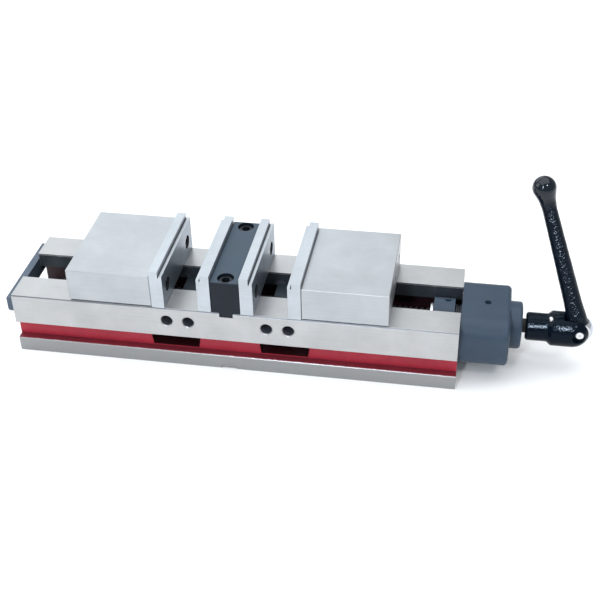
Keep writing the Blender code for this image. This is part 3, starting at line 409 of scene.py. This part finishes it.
def hammered_black(name, depth, sparkle, crank=False):
    """Glossy black enamel over a rough casting, with painted glints where it faces the viewer.

    On the crank the knob is smooth and the eye bare.
    """
    material, tree, shader = new_material(name)
    place = add_node(tree, "ShaderNodeTexCoord").outputs["Object"]
    lumps = add_node(tree, "ShaderNodeTexVoronoi", {"feature": "SMOOTH_F1"}, Vector=place,
                     Scale=GRAIN_SCALE, Smoothness=0.7).outputs["Distance"]
    fine = noise_value(tree, object_position(tree), 700.0, 2.0, 0.5)
    height = math_node(tree, "MULTIPLY_ADD", fine, 0.8, lumps)
    base = mix_colour(tree, spread(tree, fine, 0.0, 1.0), colour(0.001, 0.003, 0.007),
                      colour(0.004, 0.008, 0.015))
    rough = spread(tree, fine, 0.10, 0.20)
    metallic = 0.0
    if crank:
        offset = add_node(tree, "ShaderNodeVectorMath", {"operation": "SUBTRACT"})
        set_input(tree, offset, 0, place)
        set_input(tree, offset, 1, tuple(PIVOT))
        reach = add_node(tree, "ShaderNodeVectorMath", {"operation": "DOT_PRODUCT"})
        set_input(tree, reach, 0, offset.outputs[0])
        set_input(tree, reach, 1, tuple(ARM_DIRECTION))
        along = reach.outputs["Value"]
        height = product(tree, height, between(tree, along, 0.008, 0.135, 0.005))
        bare = spread(tree, along, 1.0, 0.0, 0.0062, 0.0074)
        base = mix_colour(tree, bare, base, colour(0.60, 0.61, 0.63))
        smooth = spread(tree, along, 0.0, -0.06, 0.132, 0.140)
        rough = math_node(tree, "ADD", rough, smooth)
        rough = math_node(tree, "MULTIPLY_ADD", bare, 0.12, rough)
        metallic = math_node(tree, "MULTIPLY", bare, 0.9)
        set_input(tree, shader, "Coat Weight", spread(tree, along, 0.0, 0.6, 0.128, 0.142))
        shader.inputs["Coat Roughness"].default_value = 0.05
    relief = bump(tree, height, depth)
    steep = bump(tree, height, depth * 3.0)
    facing = add_node(tree, "ShaderNodeLayerWeight", Blend=0.5, Normal=steep).outputs["Facing"]
    glint = spread(tree, facing, 1.0, 0.0, sparkle * 0.3, sparkle)
    if crank:
        glint = product(tree, glint, between(tree, along, 0.008, 0.132, 0.006))
    base = mix_colour(tree, glint, base, colour(0.40, 0.48, 0.58))
    set_input(tree, shader, "Base Color", base)
    set_input(tree, shader, "Roughness", rough)
    set_input(tree, shader, "Metallic", metallic)
    set_input(tree, shader, "Normal", relief)
    shader.inputs["Specular IOR Level"].default_value = 0.09
    shader.inputs["Specular Tint"].default_value = colour(0.72, 0.86, 1.0)
    return material


def floor_material():
    material, tree, shader = new_material("floor_paper")
    grain = noise_value(tree, object_position(tree), 600.0, 3.0)
    set_input(tree, shader, "Base Color", mix_colour(tree, grain, colour(0.90, 0.90, 0.90),
                                                     colour(0.93, 0.93, 0.93)))
    set_input(tree, shader, "Roughness", 0.9)
    return material


FINISH = {
    "bed": bed_material(),
    "jaw": ground_metal("jaw_finish", (0.425, 0.445, 0.465)),
    "plate": ground_metal("plate_finish", (0.465, 0.50, 0.535), (30.0, 2600.0, 900.0),
                          recess_shade_mask=plate_recess_shade),
    "nut": ground_metal("nut_finish", (0.30, 0.31, 0.32), (400.0, 400.0, 400.0)),
    "bright": ground_metal("bright_finish", (0.74, 0.75, 0.76), (2400.0, 90.0, 90.0), 0.95),
    "phosphate": coated("phosphate_finish", (0.012, 0.012, 0.013), (0.035, 0.034, 0.034), 0.38,
                        0.5, 1100.0, 0.00001),
    # the oxide's last tone is painted light on the centre jaw's upward faces
    "oxide": coated("oxide_finish", (0.006, 0.009, 0.014), (0.012, 0.016, 0.024), 0.42, 0.0, 900.0,
                    0.00002, 0.18, (0.046, 0.070, 0.098)),
    "oxide_screw": coated("oxide_screw_finish", (0.010, 0.013, 0.018), (0.024, 0.030, 0.038), 0.34,
                          0.4, 1400.0, 0.00001),
    "slate": coated("slate_finish", (0.026, 0.044, 0.070), (0.036, 0.058, 0.088), 0.42, 0.0,
                    700.0, 0.00004, 0.25),
    "steady": coated("steady_finish", (0.022, 0.032, 0.042), (0.045, 0.060, 0.074), 0.40, 0.3,
                     800.0, 0.00003),
    "end_plate": coated("end_plate_finish", (0.05, 0.07, 0.10), (0.09, 0.12, 0.16), 0.34, 0.3,
                        900.0, 0.00002),
    "bronze": ground_metal("bronze_finish", (0.52, 0.34, 0.15), (600.0, 600.0, 600.0)),
    "cast": hammered_black("cast_black_finish", 0.00016, 0.085, True),
    "socket": hammered_black("socket_black_finish", 0.00006, 0.004),
}


# ---------------------------------------------------------------- shape helpers
def smooth_group():
    """Smooth shading that keeps every edge sharper than its angle, as a modifier."""
    group = bpy.data.node_groups.new("smooth_by_angle", "GeometryNodeTree")
    group.interface.new_socket("Geometry", in_out="INPUT", socket_type="NodeSocketGeometry")
    group.interface.new_socket("Geometry", in_out="OUTPUT", socket_type="NodeSocketGeometry")
    source = group.nodes.new("NodeGroupInput")
    result = group.nodes.new("NodeGroupOutput")
    faces = group.nodes.new("GeometryNodeSetShadeSmooth")
    edges = group.nodes.new("GeometryNodeSetShadeSmooth")
    edges.domain = "EDGE"
    angle = group.nodes.new("GeometryNodeInputMeshEdgeAngle")
    small = group.nodes.new("FunctionNodeCompare")
    small.operation = "LESS_THAN"
    small.inputs[1].default_value = SMOOTH_ANGLE
    group.links.new(angle.outputs["Unsigned Angle"], small.inputs[0])
    group.links.new(source.outputs[0], faces.inputs["Geometry"])
    group.links.new(faces.outputs[0], edges.inputs["Geometry"])
    group.links.new(small.outputs[0], edges.inputs["Shade Smooth"])
    group.links.new(edges.outputs[0], result.inputs[0])
    return group


SMOOTH = smooth_group()


def add_smooth(item):
    item.modifiers.new("smooth", "NODES").node_group = SMOOTH


def edge_bevel(item, width, segments=2, angle=33.0):
    made = item.modifiers.new("edges", "BEVEL")
    made.width = width
    made.segments = segments
    made.limit_method = "ANGLE"
    made.angle_limit = math.radians(angle)
    made.harden_normals = False
    made.use_clamp_overlap = True


def dress(name, finish, width=0.00035):
    """A CAD node kept as it is, with small real edge breaks and its own finish."""
    item = NODES[name]
    item.data.materials.clear()
    item.data.materials.append(FINISH[finish])
    return break_edges(item, width)


def break_edges(item, width):
    """Clean flat faces, small edge breaks and smooth shading, all as modifiers."""
    weld = item.modifiers.new("weld", "WELD")
    weld.merge_threshold = WELD_DISTANCE
    flat = item.modifiers.new("flat", "DECIMATE")
    flat.decimate_type = "DISSOLVE"
    flat.angle_limit = FLAT_ANGLE
    edge_bevel(item, width)
    add_smooth(item)
    level = item.modifiers.new("level", "WEIGHTED_NORMAL")
    level.keep_sharp = True
    return item


def lathe(name, profile, direction, origin, sides=72):
    """A closed solid turned about an axis; profile is (radius, distance) from one end."""
    bm = bmesh.new()
    turn = Vector(direction).to_track_quat("Z", "Y").to_matrix()
    rings = []
    for radius, along in profile:
        ring = []
        count = 1 if radius < 1e-7 else sides
        for index in range(count):
            angle = 2 * math.pi * index / sides
            local = Vector((radius * math.cos(angle), radius * math.sin(angle), along))
            ring.append(bm.verts.new(Vector(origin) + turn @ local))
        rings.append(ring)
    for lower, upper in zip(rings[:-1], rings[1:]):
        for index in range(sides):
            corners = [lower[index % len(lower)], lower[(index + 1) % len(lower)],
                       upper[(index + 1) % len(upper)], upper[index % len(upper)]]
            unique = list(dict.fromkeys(corners))
            if len(unique) > 2:
                bm.faces.new(unique)
    bmesh.ops.recalc_face_normals(bm, faces=bm.faces)
    return finish_mesh(name, bm)


def finish_mesh(name, bm):
    mesh = bpy.data.meshes.new(name)
    bm.to_mesh(mesh)
    bm.free()
    item = bpy.data.objects.new(name, mesh)
    bpy.context.scene.collection.objects.link(item)
    return item


def rounded(profile, radius, steps=4):
    """Rounds the inner corners of a turned profile with small arcs."""
    result = [profile[0]]
    for before, corner, after in zip(profile[:-2], profile[1:-1], profile[2:]):
        corner = Vector(corner)
        back = Vector(before) - corner
        ahead = Vector(after) - corner
        cut = min(radius, back.length * 0.45, ahead.length * 0.45)
        start = corner + back.normalized() * cut
        end = corner + ahead.normalized() * cut
        for index in range(steps + 1):
            t = index / steps
            point = start * (1 - t) ** 2 + corner * 2 * t * (1 - t) + end * t ** 2
            result.append(tuple(point))
    return result + [profile[-1]]


def box_mesh(name, low, high, frame_matrix=Matrix.Identity(4)):
    low, high = Vector(low), Vector(high)
    bm = bmesh.new()
    bmesh.ops.create_cube(bm, size=1.0)
    matrix = Matrix.Translation((low + high) / 2) @ Matrix.Diagonal((*(high - low), 1.0))
    bmesh.ops.transform(bm, matrix=frame_matrix @ matrix, verts=bm.verts)
    return finish_mesh(name, bm)


def carve(item, *tools):
    """Boolean differences, applied, with the cutters removed."""
    for tool in tools:
        made = item.modifiers.new("cut", "BOOLEAN")
        made.object = tool
        made.solver = "EXACT"
    bake(item)
    for tool in tools:
        bpy.data.objects.remove(tool)
    return item


def bake(item):
    bpy.context.view_layer.update()
    result = item.evaluated_get(bpy.context.evaluated_depsgraph_get())
    mesh = bpy.data.meshes.new_from_object(result)
    item.modifiers.clear()
    item.data = mesh


def settle(item, finish, body, *replaced):
    """Gives a made piece its finish, its body and the CAD nodes it stands for."""
    item.data.materials.clear()
    item.data.materials.append(FINISH[finish])
    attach(item, body)
    if replaced:
        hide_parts(*replaced)
    return item


def middle(name):
    low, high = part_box(name)
    return (low + high) / 2


# ---------------------------------------------------------------- made pieces
def thread_radius(x, angle, left, right, hand, outer):
    """Radius of a trapezoidal thread that runs out at both ends."""
    phase = ((x - left) / LEAD - hand * angle / (2 * math.pi)) % 1.0
    flank = abs(phase - 0.5) * 2.0
    wave = min(max((flank - 0.34) / 0.30, 0.0), 1.0)
    fade = min(max((x - left) / (LEAD * 0.8), 0.0), max((right - x) / (LEAD * 0.8), 0.0), 1.0)
    return outer - THREAD_DEPTH * wave * fade


def housing_hull():
    """The casting's outer form at its outer end, with the rounding of that end's edge."""
    half_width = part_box("bearing_housing")[1].y
    centre_z = (HOUSING_LOW + HOUSING_TOP) / 2
    stations = [(HOUSING_END - 0.012, 0.0)]
    for index in range(7):
        angle = math.radians(90.0 * index / 6)
        stations.append((HOUSING_END - HOUSING_ROUND * (1 - math.sin(angle)),
                         HOUSING_ROUND * (1 - math.cos(angle))))
    bm = bmesh.new()
    rings = []
    for x, inset in stations:
        ring = []
        radius = HOUSING_CORNER - inset
        for corner in range(4):
            side = (1, 1), (-1, 1), (-1, -1), (1, -1)
            across = side[corner][0] * (half_width - HOUSING_CORNER)
            upward = side[corner][1] * ((HOUSING_TOP - HOUSING_LOW) / 2 - HOUSING_CORNER)
            for step in range(13):
                angle = math.radians(90.0 * corner + 90.0 * step / 12)
                ring.append(bm.verts.new((x + HULL_MARGIN,
                                          across + (radius + HULL_MARGIN) * math.cos(angle),
                                          centre_z + upward
                                          + (radius + HULL_MARGIN) * math.sin(angle))))
        rings.append(ring)
    for before, after in zip(rings[:-1], rings[1:]):
        for index in range(len(before)):
            follow = (index + 1) % len(before)
            bm.faces.new((before[index], before[follow], after[follow], after[index]))
    bm.faces.new(rings[0])
    bm.faces.new(rings[-1])
    bmesh.ops.recalc_face_normals(bm, faces=bm.faces)
    return finish_mesh("housing_hull", bm)


def build_housing():
    """The CAD casting with the outer edge of its end rounded as in the photograph."""
    waste = box_mesh("housing_waste", (HOUSING_END - HOUSING_ROUND - 0.0005, -0.0409, 0.0141),
                     (HOUSING_END + 0.0005, 0.0409, 0.0625))
    boss = lathe("boss_clearance", [(0.0, 0.0), (BOSS_CLEARANCE, 0.0), (BOSS_CLEARANCE, 0.012),
                                    (0.0, 0.012)], (1, 0, 0),
                 (HOUSING_END - 0.006, SCREW_AXIS.y, SCREW_AXIS.z))
    carve(waste, housing_hull(), boss)
    casting = bpy.data.objects.new("housing_casting", NODES["bearing_housing"].data.copy())
    bpy.context.scene.collection.objects.link(casting)
    weld = casting.modifiers.new("weld", "WELD")
    weld.merge_threshold = WELD_DISTANCE
    carve(casting, waste)
    break_edges(casting, 0.0004)
    settle(casting, "slate", "base", "bearing_housing")


def build_screw():
    low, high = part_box("screw")
    outer = (high.z - low.z) / 2
    collar_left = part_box("thrust_washer")[0].x
    thread_right = collar_left - 0.0008
    stations = []
    step = LEAD / THREAD_STEPS
    spans = ((low.x + 0.0015, -THREAD_START, 1), (THREAD_START, thread_right, -1))
    stations.append((low.x, outer - 0.0016, None))
    for left, right, hand in spans:
        count = round((right - left) / step)
        for index in range(count + 1):
            stations.append((left + (right - left) * index / count, outer, (left, right, hand)))
        if hand == 1:
            stations += [(side * SCREW_MIDDLE_END, SCREW_MIDDLE_RADIUS, None) for side in (-1, 1)]
    groove = middle("retaining_screw").x
    edge = RETAINING_HALF + 0.0002
    for x, radius in ((thread_right + 0.0005, JOURNAL_RADIUS), (groove - edge, JOURNAL_RADIUS),
                      (groove - RETAINING_HALF, RETAINING_RADIUS),
                      (groove + RETAINING_HALF, RETAINING_RADIUS),
                      (groove + edge, JOURNAL_RADIUS), (JOURNAL_END, JOURNAL_RADIUS),
                      (JOURNAL_END + 0.0006, NECK_RADIUS + 0.0003),
                      (JOURNAL_END + 0.0010, NECK_RADIUS), (NECK_END, NECK_RADIUS)):
        stations.append((x, radius, None))
    bm = bmesh.new()
    rings = []
    for x, radius, thread in stations:
        ring = []
        for index in range(THREAD_SIDES):
            angle = 2 * math.pi * index / THREAD_SIDES
            reach = radius if thread is None else thread_radius(x, angle, *thread, outer)
            ring.append(bm.verts.new((x, SCREW_AXIS.y + reach * math.cos(angle),
                                      SCREW_AXIS.z + reach * math.sin(angle))))
        rings.append(ring)
    for first, second in zip(rings[:-1], rings[1:]):
        for index in range(THREAD_SIDES):
            after = (index + 1) % THREAD_SIDES
            bm.faces.new((first[index], first[after], second[after], second[index]))
    bm.faces.new(rings[0])
    bm.faces.new(rings[-1])
    bmesh.ops.recalc_face_normals(bm, faces=bm.faces)
    shaft = finish_mesh("screw_shaft", bm)
    add_smooth(shaft)
    settle(shaft, "phosphate", "screw", "screw")
    tip = lathe("screw_hexagon", [(0.0, HEX_START), (HEX_RADIUS, HEX_START),
                                  (HEX_RADIUS, high.x - 0.0006),
                                  (HEX_RADIUS - 0.0007, high.x), (0.0, high.x)], (1, 0, 0),
                (0, SCREW_AXIS.y, SCREW_AXIS.z), 6)
    edge_bevel(tip, 0.0002)
    settle(tip, "phosphate", "screw")


def hex_cutter(name, origin, direction, radius, depth):
    profile = [(0.0, -0.001), (radius, -0.001), (radius, depth), (0.0, depth + radius * 0.35)]
    return lathe(name, profile, direction, origin, 6)


def screw_frame(name):
    """Head centre, direction to the tip, length and head radius of a CAD screw."""
    low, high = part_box(name)
    size = high - low
    axis = max(range(3), key=lambda index: size[index])
    across = (axis + 1) % 3
    points = [vertex.co for vertex in NODES[name].data.vertices]
    centre = (low + high) / 2
    reach = size[across] / 2 * 0.97
    ends = []
    for point in points:
        radial = point - centre
        radial[axis] = 0.0
        if radial.length > reach:
            ends.append(point[axis])
    head_near_low = sum(ends) / len(ends) < centre[axis]
    head = centre.copy()
    head[axis] = low[axis] if head_near_low else high[axis]
    direction = Vector((0.0, 0.0, 0.0))
    direction[axis] = 1.0 if head_near_low else -1.0
    length = max(abs(end - head[axis]) for end in ends)
    return head, direction, size[axis], size[across] / 2, length


def build_cap_screw(name, body, socket_radius):
    """Socket-head cap screw with a knurled, chamfered head and a hexagon socket."""
    head, direction, total, radius, head_length = screw_frame(name)
    shank = radius * 0.62
    profile = [(0.0, 0.0), (radius * 0.86, 0.0), (radius, radius * 0.14),
               (radius, head_length - 0.0003), (radius * 0.96, head_length), (shank, head_length),
               (shank, total - 0.0006), (shank - 0.0005, total), (0.0, total)]
    item = lathe(name + "_fine", rounded(profile, 0.00022, 2), direction, head, 96)
    centre_line = direction.normalized()
    for vertex in item.data.vertices:
        offset = vertex.co - head
        along = offset.dot(centre_line)
        radial = offset - centre_line * along
        if radius * 0.2 < along < head_length - 0.0004 and radial.length > radius * 0.97:
            angle = math.atan2(radial.dot(centre_line.orthogonal().cross(centre_line)),
                               radial.dot(centre_line.orthogonal().normalized()))
            vertex.co -= radial.normalized() * 0.00012 * (1 + math.cos(angle * 48))
    carve(item, hex_cutter(name + "_key", head, direction, socket_radius, head_length * 0.6))
    add_smooth(item)
    return settle(item, "oxide_screw", body, name)


def build_grub(name, body, socket_radius):
    low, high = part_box(name)
    size = high - low
    axis = max(range(3), key=lambda index: size[index])
    centre = (low + high) / 2
    direction = Vector((0.0, 0.0, 0.0))
    outward = {"adjusting_screw_left": -1, "adjusting_screw_right": 1}.get(name, 1)
    direction[axis] = -outward
    head = centre.copy()
    head[axis] = high[axis] if outward > 0 else low[axis]
    radius = size[(axis + 1) % 3] / 2
    profile = [(0.0, 0.0), (radius - 0.0004, 0.0), (radius, 0.0004), (radius, size[axis] - 0.0008),
               (radius - 0.0008, size[axis]), (0.0, size[axis])]
    item = lathe(name + "_fine", profile, direction, head, 40)
    carve(item, hex_cutter(name + "_key", head, direction, socket_radius, radius))
    add_smooth(item)
    return settle(item, "oxide_screw", body, name)


def ring_piece(name, edge=0.0003):
    """A turned ring with rounded rims in place of a CAD ring."""
    low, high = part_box(name)
    outer = (high.z - low.z) / 2
    profile = rounded([(RING_BORE, low.x), (outer, low.x), (outer, high.x),
                       (RING_BORE, high.x), (RING_BORE, low.x)], edge, 3)
    item = lathe(name + "_fine", profile, (1, 0, 0), (0, SCREW_AXIS.y, SCREW_AXIS.z), 96)
    bm = bmesh.new()
    bm.from_mesh(item.data)
    bmesh.ops.remove_doubles(bm, verts=bm.verts, dist=0.000001)
    bmesh.ops.recalc_face_normals(bm, faces=bm.faces)
    bm.to_mesh(item.data)
    bm.free()
    return item


def build_thrust_set():
    for name, body, look in (("thrust_washer", "screw", "bright"),
                             ("bearing_race_inner", "screw", "oxide_screw"),
                             ("bearing_cage", "screw", "oxide_screw"),
                             ("bearing_race_outer", "base", "oxide_screw")):
        item = ring_piece(name)
        add_smooth(item)
        settle(item, look, body, name)
    collar = ring_piece("thrust_collar", 0.0007)
    grub = middle("collar_set_screw")
    outward = (Vector((0, grub.y, grub.z)) - Vector((0, SCREW_AXIS.y, SCREW_AXIS.z))).normalized()
    start = Vector((grub.x, SCREW_AXIS.y, SCREW_AXIS.z))
    hole = lathe("collar_hole", [(0.0, 0.006), (0.0027, 0.006), (0.0027, 0.0186), (0.0033, 0.0195),
                                 (0.0033, 0.025), (0.0, 0.025)], outward, start, 40)
    carve(collar, hole)
    add_smooth(collar)
    settle(collar, "slate", "screw", "thrust_collar")
    dress("collar_set_screw", "oxide_screw", 0.0001)


def smooth_curve(points, count):
    """Catmull-Rom samples through a turned profile."""
    result = []
    padded = [points[0], *points, points[-1]]
    for index in range(1, len(padded) - 2):
        p0, p1, p2, p3 = (Vector(padded[index + k]) for k in (-1, 0, 1, 2))
        for step in range(count):
            t = step / count
            value = 0.5 * ((2 * p1) + (p2 - p0) * t + (2 * p0 - 5 * p1 + 4 * p2 - p3) * t ** 2
                           + (3 * p1 - p0 - 3 * p2 + p3) * t ** 3)
            result.append((value.x, value.y))
    return result + [points[-1]]


def arc_points(centre, radius, start, end, steps):
    return [(radius * math.cos(math.radians(start + (end - start) * i / steps)),
             centre + radius * math.sin(math.radians(start + (end - start) * i / steps)))
            for i in range(steps + 1)]


def pin_hole_cutter(name):
    profile = [(0.0, -0.03), (PIN_HOLE_RADIUS, -0.03), (PIN_HOLE_RADIUS, 0.03), (0.0, 0.03)]
    return lathe(name, profile, (0, 1, 0), PIVOT, 48)


def build_arm():
    top = arc_points(ARM_LENGTH, KNOB_RADIUS, 90, -20, 26)
    bottom = arc_points(0.0, EYE_RADIUS, 40, -90, 24)
    waist = smooth_curve([top[-1], (0.00886, ARM_LENGTH - 0.0054), (0.00827, ARM_LENGTH - 0.0074),
                          (0.0072, ARM_LENGTH - 0.0114), (0.0067, ARM_LENGTH - 0.0154),
                          (0.0063, ARM_LENGTH - 0.0194), (0.0062, ARM_LENGTH - 0.0264),
                          (0.0065, 0.1),
                          (0.0069, 0.08), (0.0073, 0.06), (0.0076, 0.04), (0.0079, 0.028),
                          (0.0084, 0.0195), (0.0088, 0.0130), bottom[0]], 9)
    profile = top[:-1] + waist + bottom[1:]
    profile[0] = (0.0, profile[0][1])
    profile[-1] = (0.0, profile[-1][1])
    arm = lathe("handle_arm_fine", profile, ARM_DIRECTION, PIVOT, 72)
    for vertex in arm.data.vertices:
        offset = vertex.co - PIVOT
        along = offset.dot(ARM_DIRECTION)
        if CAST_LOW < along < CAST_HIGH:
            radial = offset - ARM_DIRECTION * along
            edge = min((along - CAST_LOW) / 0.01, (CAST_HIGH - along) / 0.01, 1.0)
            lump = (noise.noise(vertex.co * 260.0) * LUMP_HEIGHT
                    + noise.noise(vertex.co * 90.0) * LUMP_HEIGHT)
            vertex.co += radial.normalized() * lump * edge
    place = Matrix.Translation(PIVOT) @ Matrix.Rotation(ARM_LEAN, 4, "Y")
    cheeks = []
    for side in (-1, 1):
        near, far = sorted((side * EYE_HALF_WIDTH, side * CHEEK_REACH))
        cheeks.append(box_mesh(f"cheek_{side}", (-CHEEK_LENGTH, near, -CHEEK_REACH),
                               (CHEEK_LENGTH, far, CHEEK_TOP), place))
    hole = pin_hole_cutter("eye_hole")
    carve(arm, *cheeks, hole)
    edge_bevel(arm, 0.0004, 2, 40.0)
    add_smooth(arm)
    return settle(arm, "cast", "arm", "handle_arm")


def build_socket():
    low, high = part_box("handle_socket")
    body, fork = SOCKET_RADIUS, (high.z - low.z) / 2
    ball_x = high.x - fork
    profile = [(0.0, low.x), (body - 0.0016, low.x), (body, low.x + 0.0015), (body, CONE[0]),
               (fork - 0.0004, CONE[1]), (fork, CONE[2])]
    profile = rounded(profile, 0.0006, 3)
    profile += arc_points(ball_x, fork, 0, 90, 24)
    profile[-1] = (0.0, high.x)
    socket = lathe("handle_socket_fine", profile, (1, 0, 0), (0, SCREW_AXIS.y, SCREW_AXIS.z), 96)
    hexagon = hex_cutter("socket_hexagon", (low.x - 0.004, SCREW_AXIS.y, SCREW_AXIS.z), (1, 0, 0),
                         0.0067, 0.0248)
    slot = box_mesh("clevis_slot", (SLOT_START, -SLOT_HALF, 0.0), (0.34, SLOT_HALF, 0.08))
    hole = pin_hole_cutter("pin_hole")
    spots = [lathe(f"spotface_{side}", [(0.0, 0.0114), (0.0063, 0.0114), (0.0070, 0.03),
                                        (0.0, 0.03)], (0, side, 0), PIVOT, 64)
             for side in (-1, 1)]
    detent = middle("detent_ball")
    pocket = lathe("detent_pocket", rounded([(0.0, -0.0027), (0.0027, -0.0027), (0.0027, 0.004),
                                             (0.0, 0.004)], 0.001, 3),
                   (0, detent.y - SCREW_AXIS.y, detent.z - SCREW_AXIS.z), detent, 32)
    carve(socket, hexagon, slot, hole, *spots, pocket)
    edge_bevel(socket, 0.0004, 2, 40.0)
    add_smooth(socket)
    return settle(socket, "socket", "socket", "handle_socket")


def build_pin():
    low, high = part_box("handle_pin")
    radius, half = (high.z - low.z) / 2, (high.y - low.y) / 2
    profile = [(0.0, -half + 0.0006), (radius * 0.25, -half + 0.0003), (radius * 0.34, -half),
               (radius * 0.86, -half), (radius, -half + 0.0005), (radius, half - 0.0005),
               (radius * 0.86, half), (radius * 0.34, half), (radius * 0.25, half - 0.0003),
               (0.0, half - 0.0006)]
    pin = lathe("handle_pin_fine", profile, (0, 1, 0), PIVOT, 56)
    add_smooth(pin)
    return settle(pin, "bright", "socket", "handle_pin")


def build_detent():
    centre = middle("detent_ball")
    radius = (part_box("detent_ball")[1].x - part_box("detent_ball")[0].x) / 2
    ball = lathe("detent_ball_fine", arc_points(0.0, radius, -90, 90, 24), (0, 0, 1), centre, 48)
    add_smooth(ball)
    return settle(ball, "bright", "socket", "detent_ball")


def build_screws():
    for name in ("centre_screw_front", "centre_screw_back"):
        build_cap_screw(name, "base", 0.0042)
    for plate, body in (("centre_plate_left", "base"), ("centre_plate_right", "base"),
                        ("jaw_plate_left", "jaw_left"), ("jaw_plate_right", "jaw_right")):
        for end in ("front", "back"):
            build_cap_screw(f"{plate}_screw_{end}", body, 0.0034)
    for end in ("top_back", "top_front", "low_back", "low_front"):
        build_cap_screw(f"housing_screw_{end}", "base", 0.0022)
    for end in ("front", "back"):
        build_cap_screw(f"end_plate_screw_{end}", "base", 0.0020)
    for hand in ("left", "right"):
        build_cap_screw(f"steady_screw_{hand}", "base", 0.0026)
    build_grub("adjusting_screw_left", "jaw_left", 0.0023)
    build_grub("adjusting_screw_right", "jaw_right", 0.0023)
    build_grub("retaining_screw", "base", 0.0015)


def dress_nodes():
    dress("bed", "bed", 0.00045)
    dress("end_plate", "end_plate", 0.0005)
    dress("centre_jaw", "oxide", 0.0003)
    dress("bush", "bronze", 0.0003)
    dress("steady_left", "steady", 0.0006)
    dress("steady_right", "steady", 0.0006)
    for hand in ("left", "right"):
        dress(f"jaw_{hand}", "jaw", 0.0004)
        dress(f"jaw_plate_{hand}", "plate", 0.0002)
        dress(f"centre_plate_{hand}", "plate", 0.0002)
        dress(f"nut_{hand}", "nut", 0.0004)
        dress(f"lock_segment_{hand}", "bright", 0.0002)


# ---------------------------------------------------------------- set and camera
def area_light(name, place, target, size, power, tint):
    light = bpy.data.lights.new(name, "AREA")
    light.shape = "RECTANGLE"
    light.size, light.size_y = size
    light.energy = power
    light.color = tint
    item = bpy.data.objects.new(name, light)
    item.location = place
    aim = Vector(target) - Vector(place)
    item.rotation_euler = aim.to_track_quat("-Z", "Y").to_euler()
    bpy.context.scene.collection.objects.link(item)


def build_set():
    floor = box_mesh("floor", (-4.0, -3.0, -0.02), (4.0, 5.0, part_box("bed")[0].z - 0.00005))
    floor.data.materials.append(floor_material())
    world = bpy.data.worlds.new("studio")
    world.use_nodes = True
    world.node_tree.nodes["Background"].inputs["Color"].default_value = colour(*WORLD_TINT)
    world.node_tree.nodes["Background"].inputs["Strength"].default_value = WORLD_STRENGTH
    bpy.context.scene.world = world
    for light in LIGHTS:
        area_light(*light)


def build_camera():
    data = bpy.data.cameras.new("camera")
    data.lens = CAMERA_LENS
    data.sensor_width = SENSOR_WIDTH
    data.clip_start = 0.01
    item = bpy.data.objects.new("camera", data)
    bpy.context.scene.collection.objects.link(item)
    right, up = Vector(CAMERA_RIGHT).normalized(), Vector(CAMERA_UP).normalized()
    back = right.cross(up).normalized()
    turn = Matrix((right, up, back)).transposed().to_4x4()
    item.matrix_world = Matrix.Translation(CAMERA_PLACE) @ turn
    bpy.context.scene.camera = item


dress_nodes()
build_housing()
build_screw()
build_screws()
build_thrust_set()
build_socket()
build_arm()
build_pin()
build_detent()
build_set()
build_camera()
bpy.context.scene.view_settings.view_transform = "Standard"
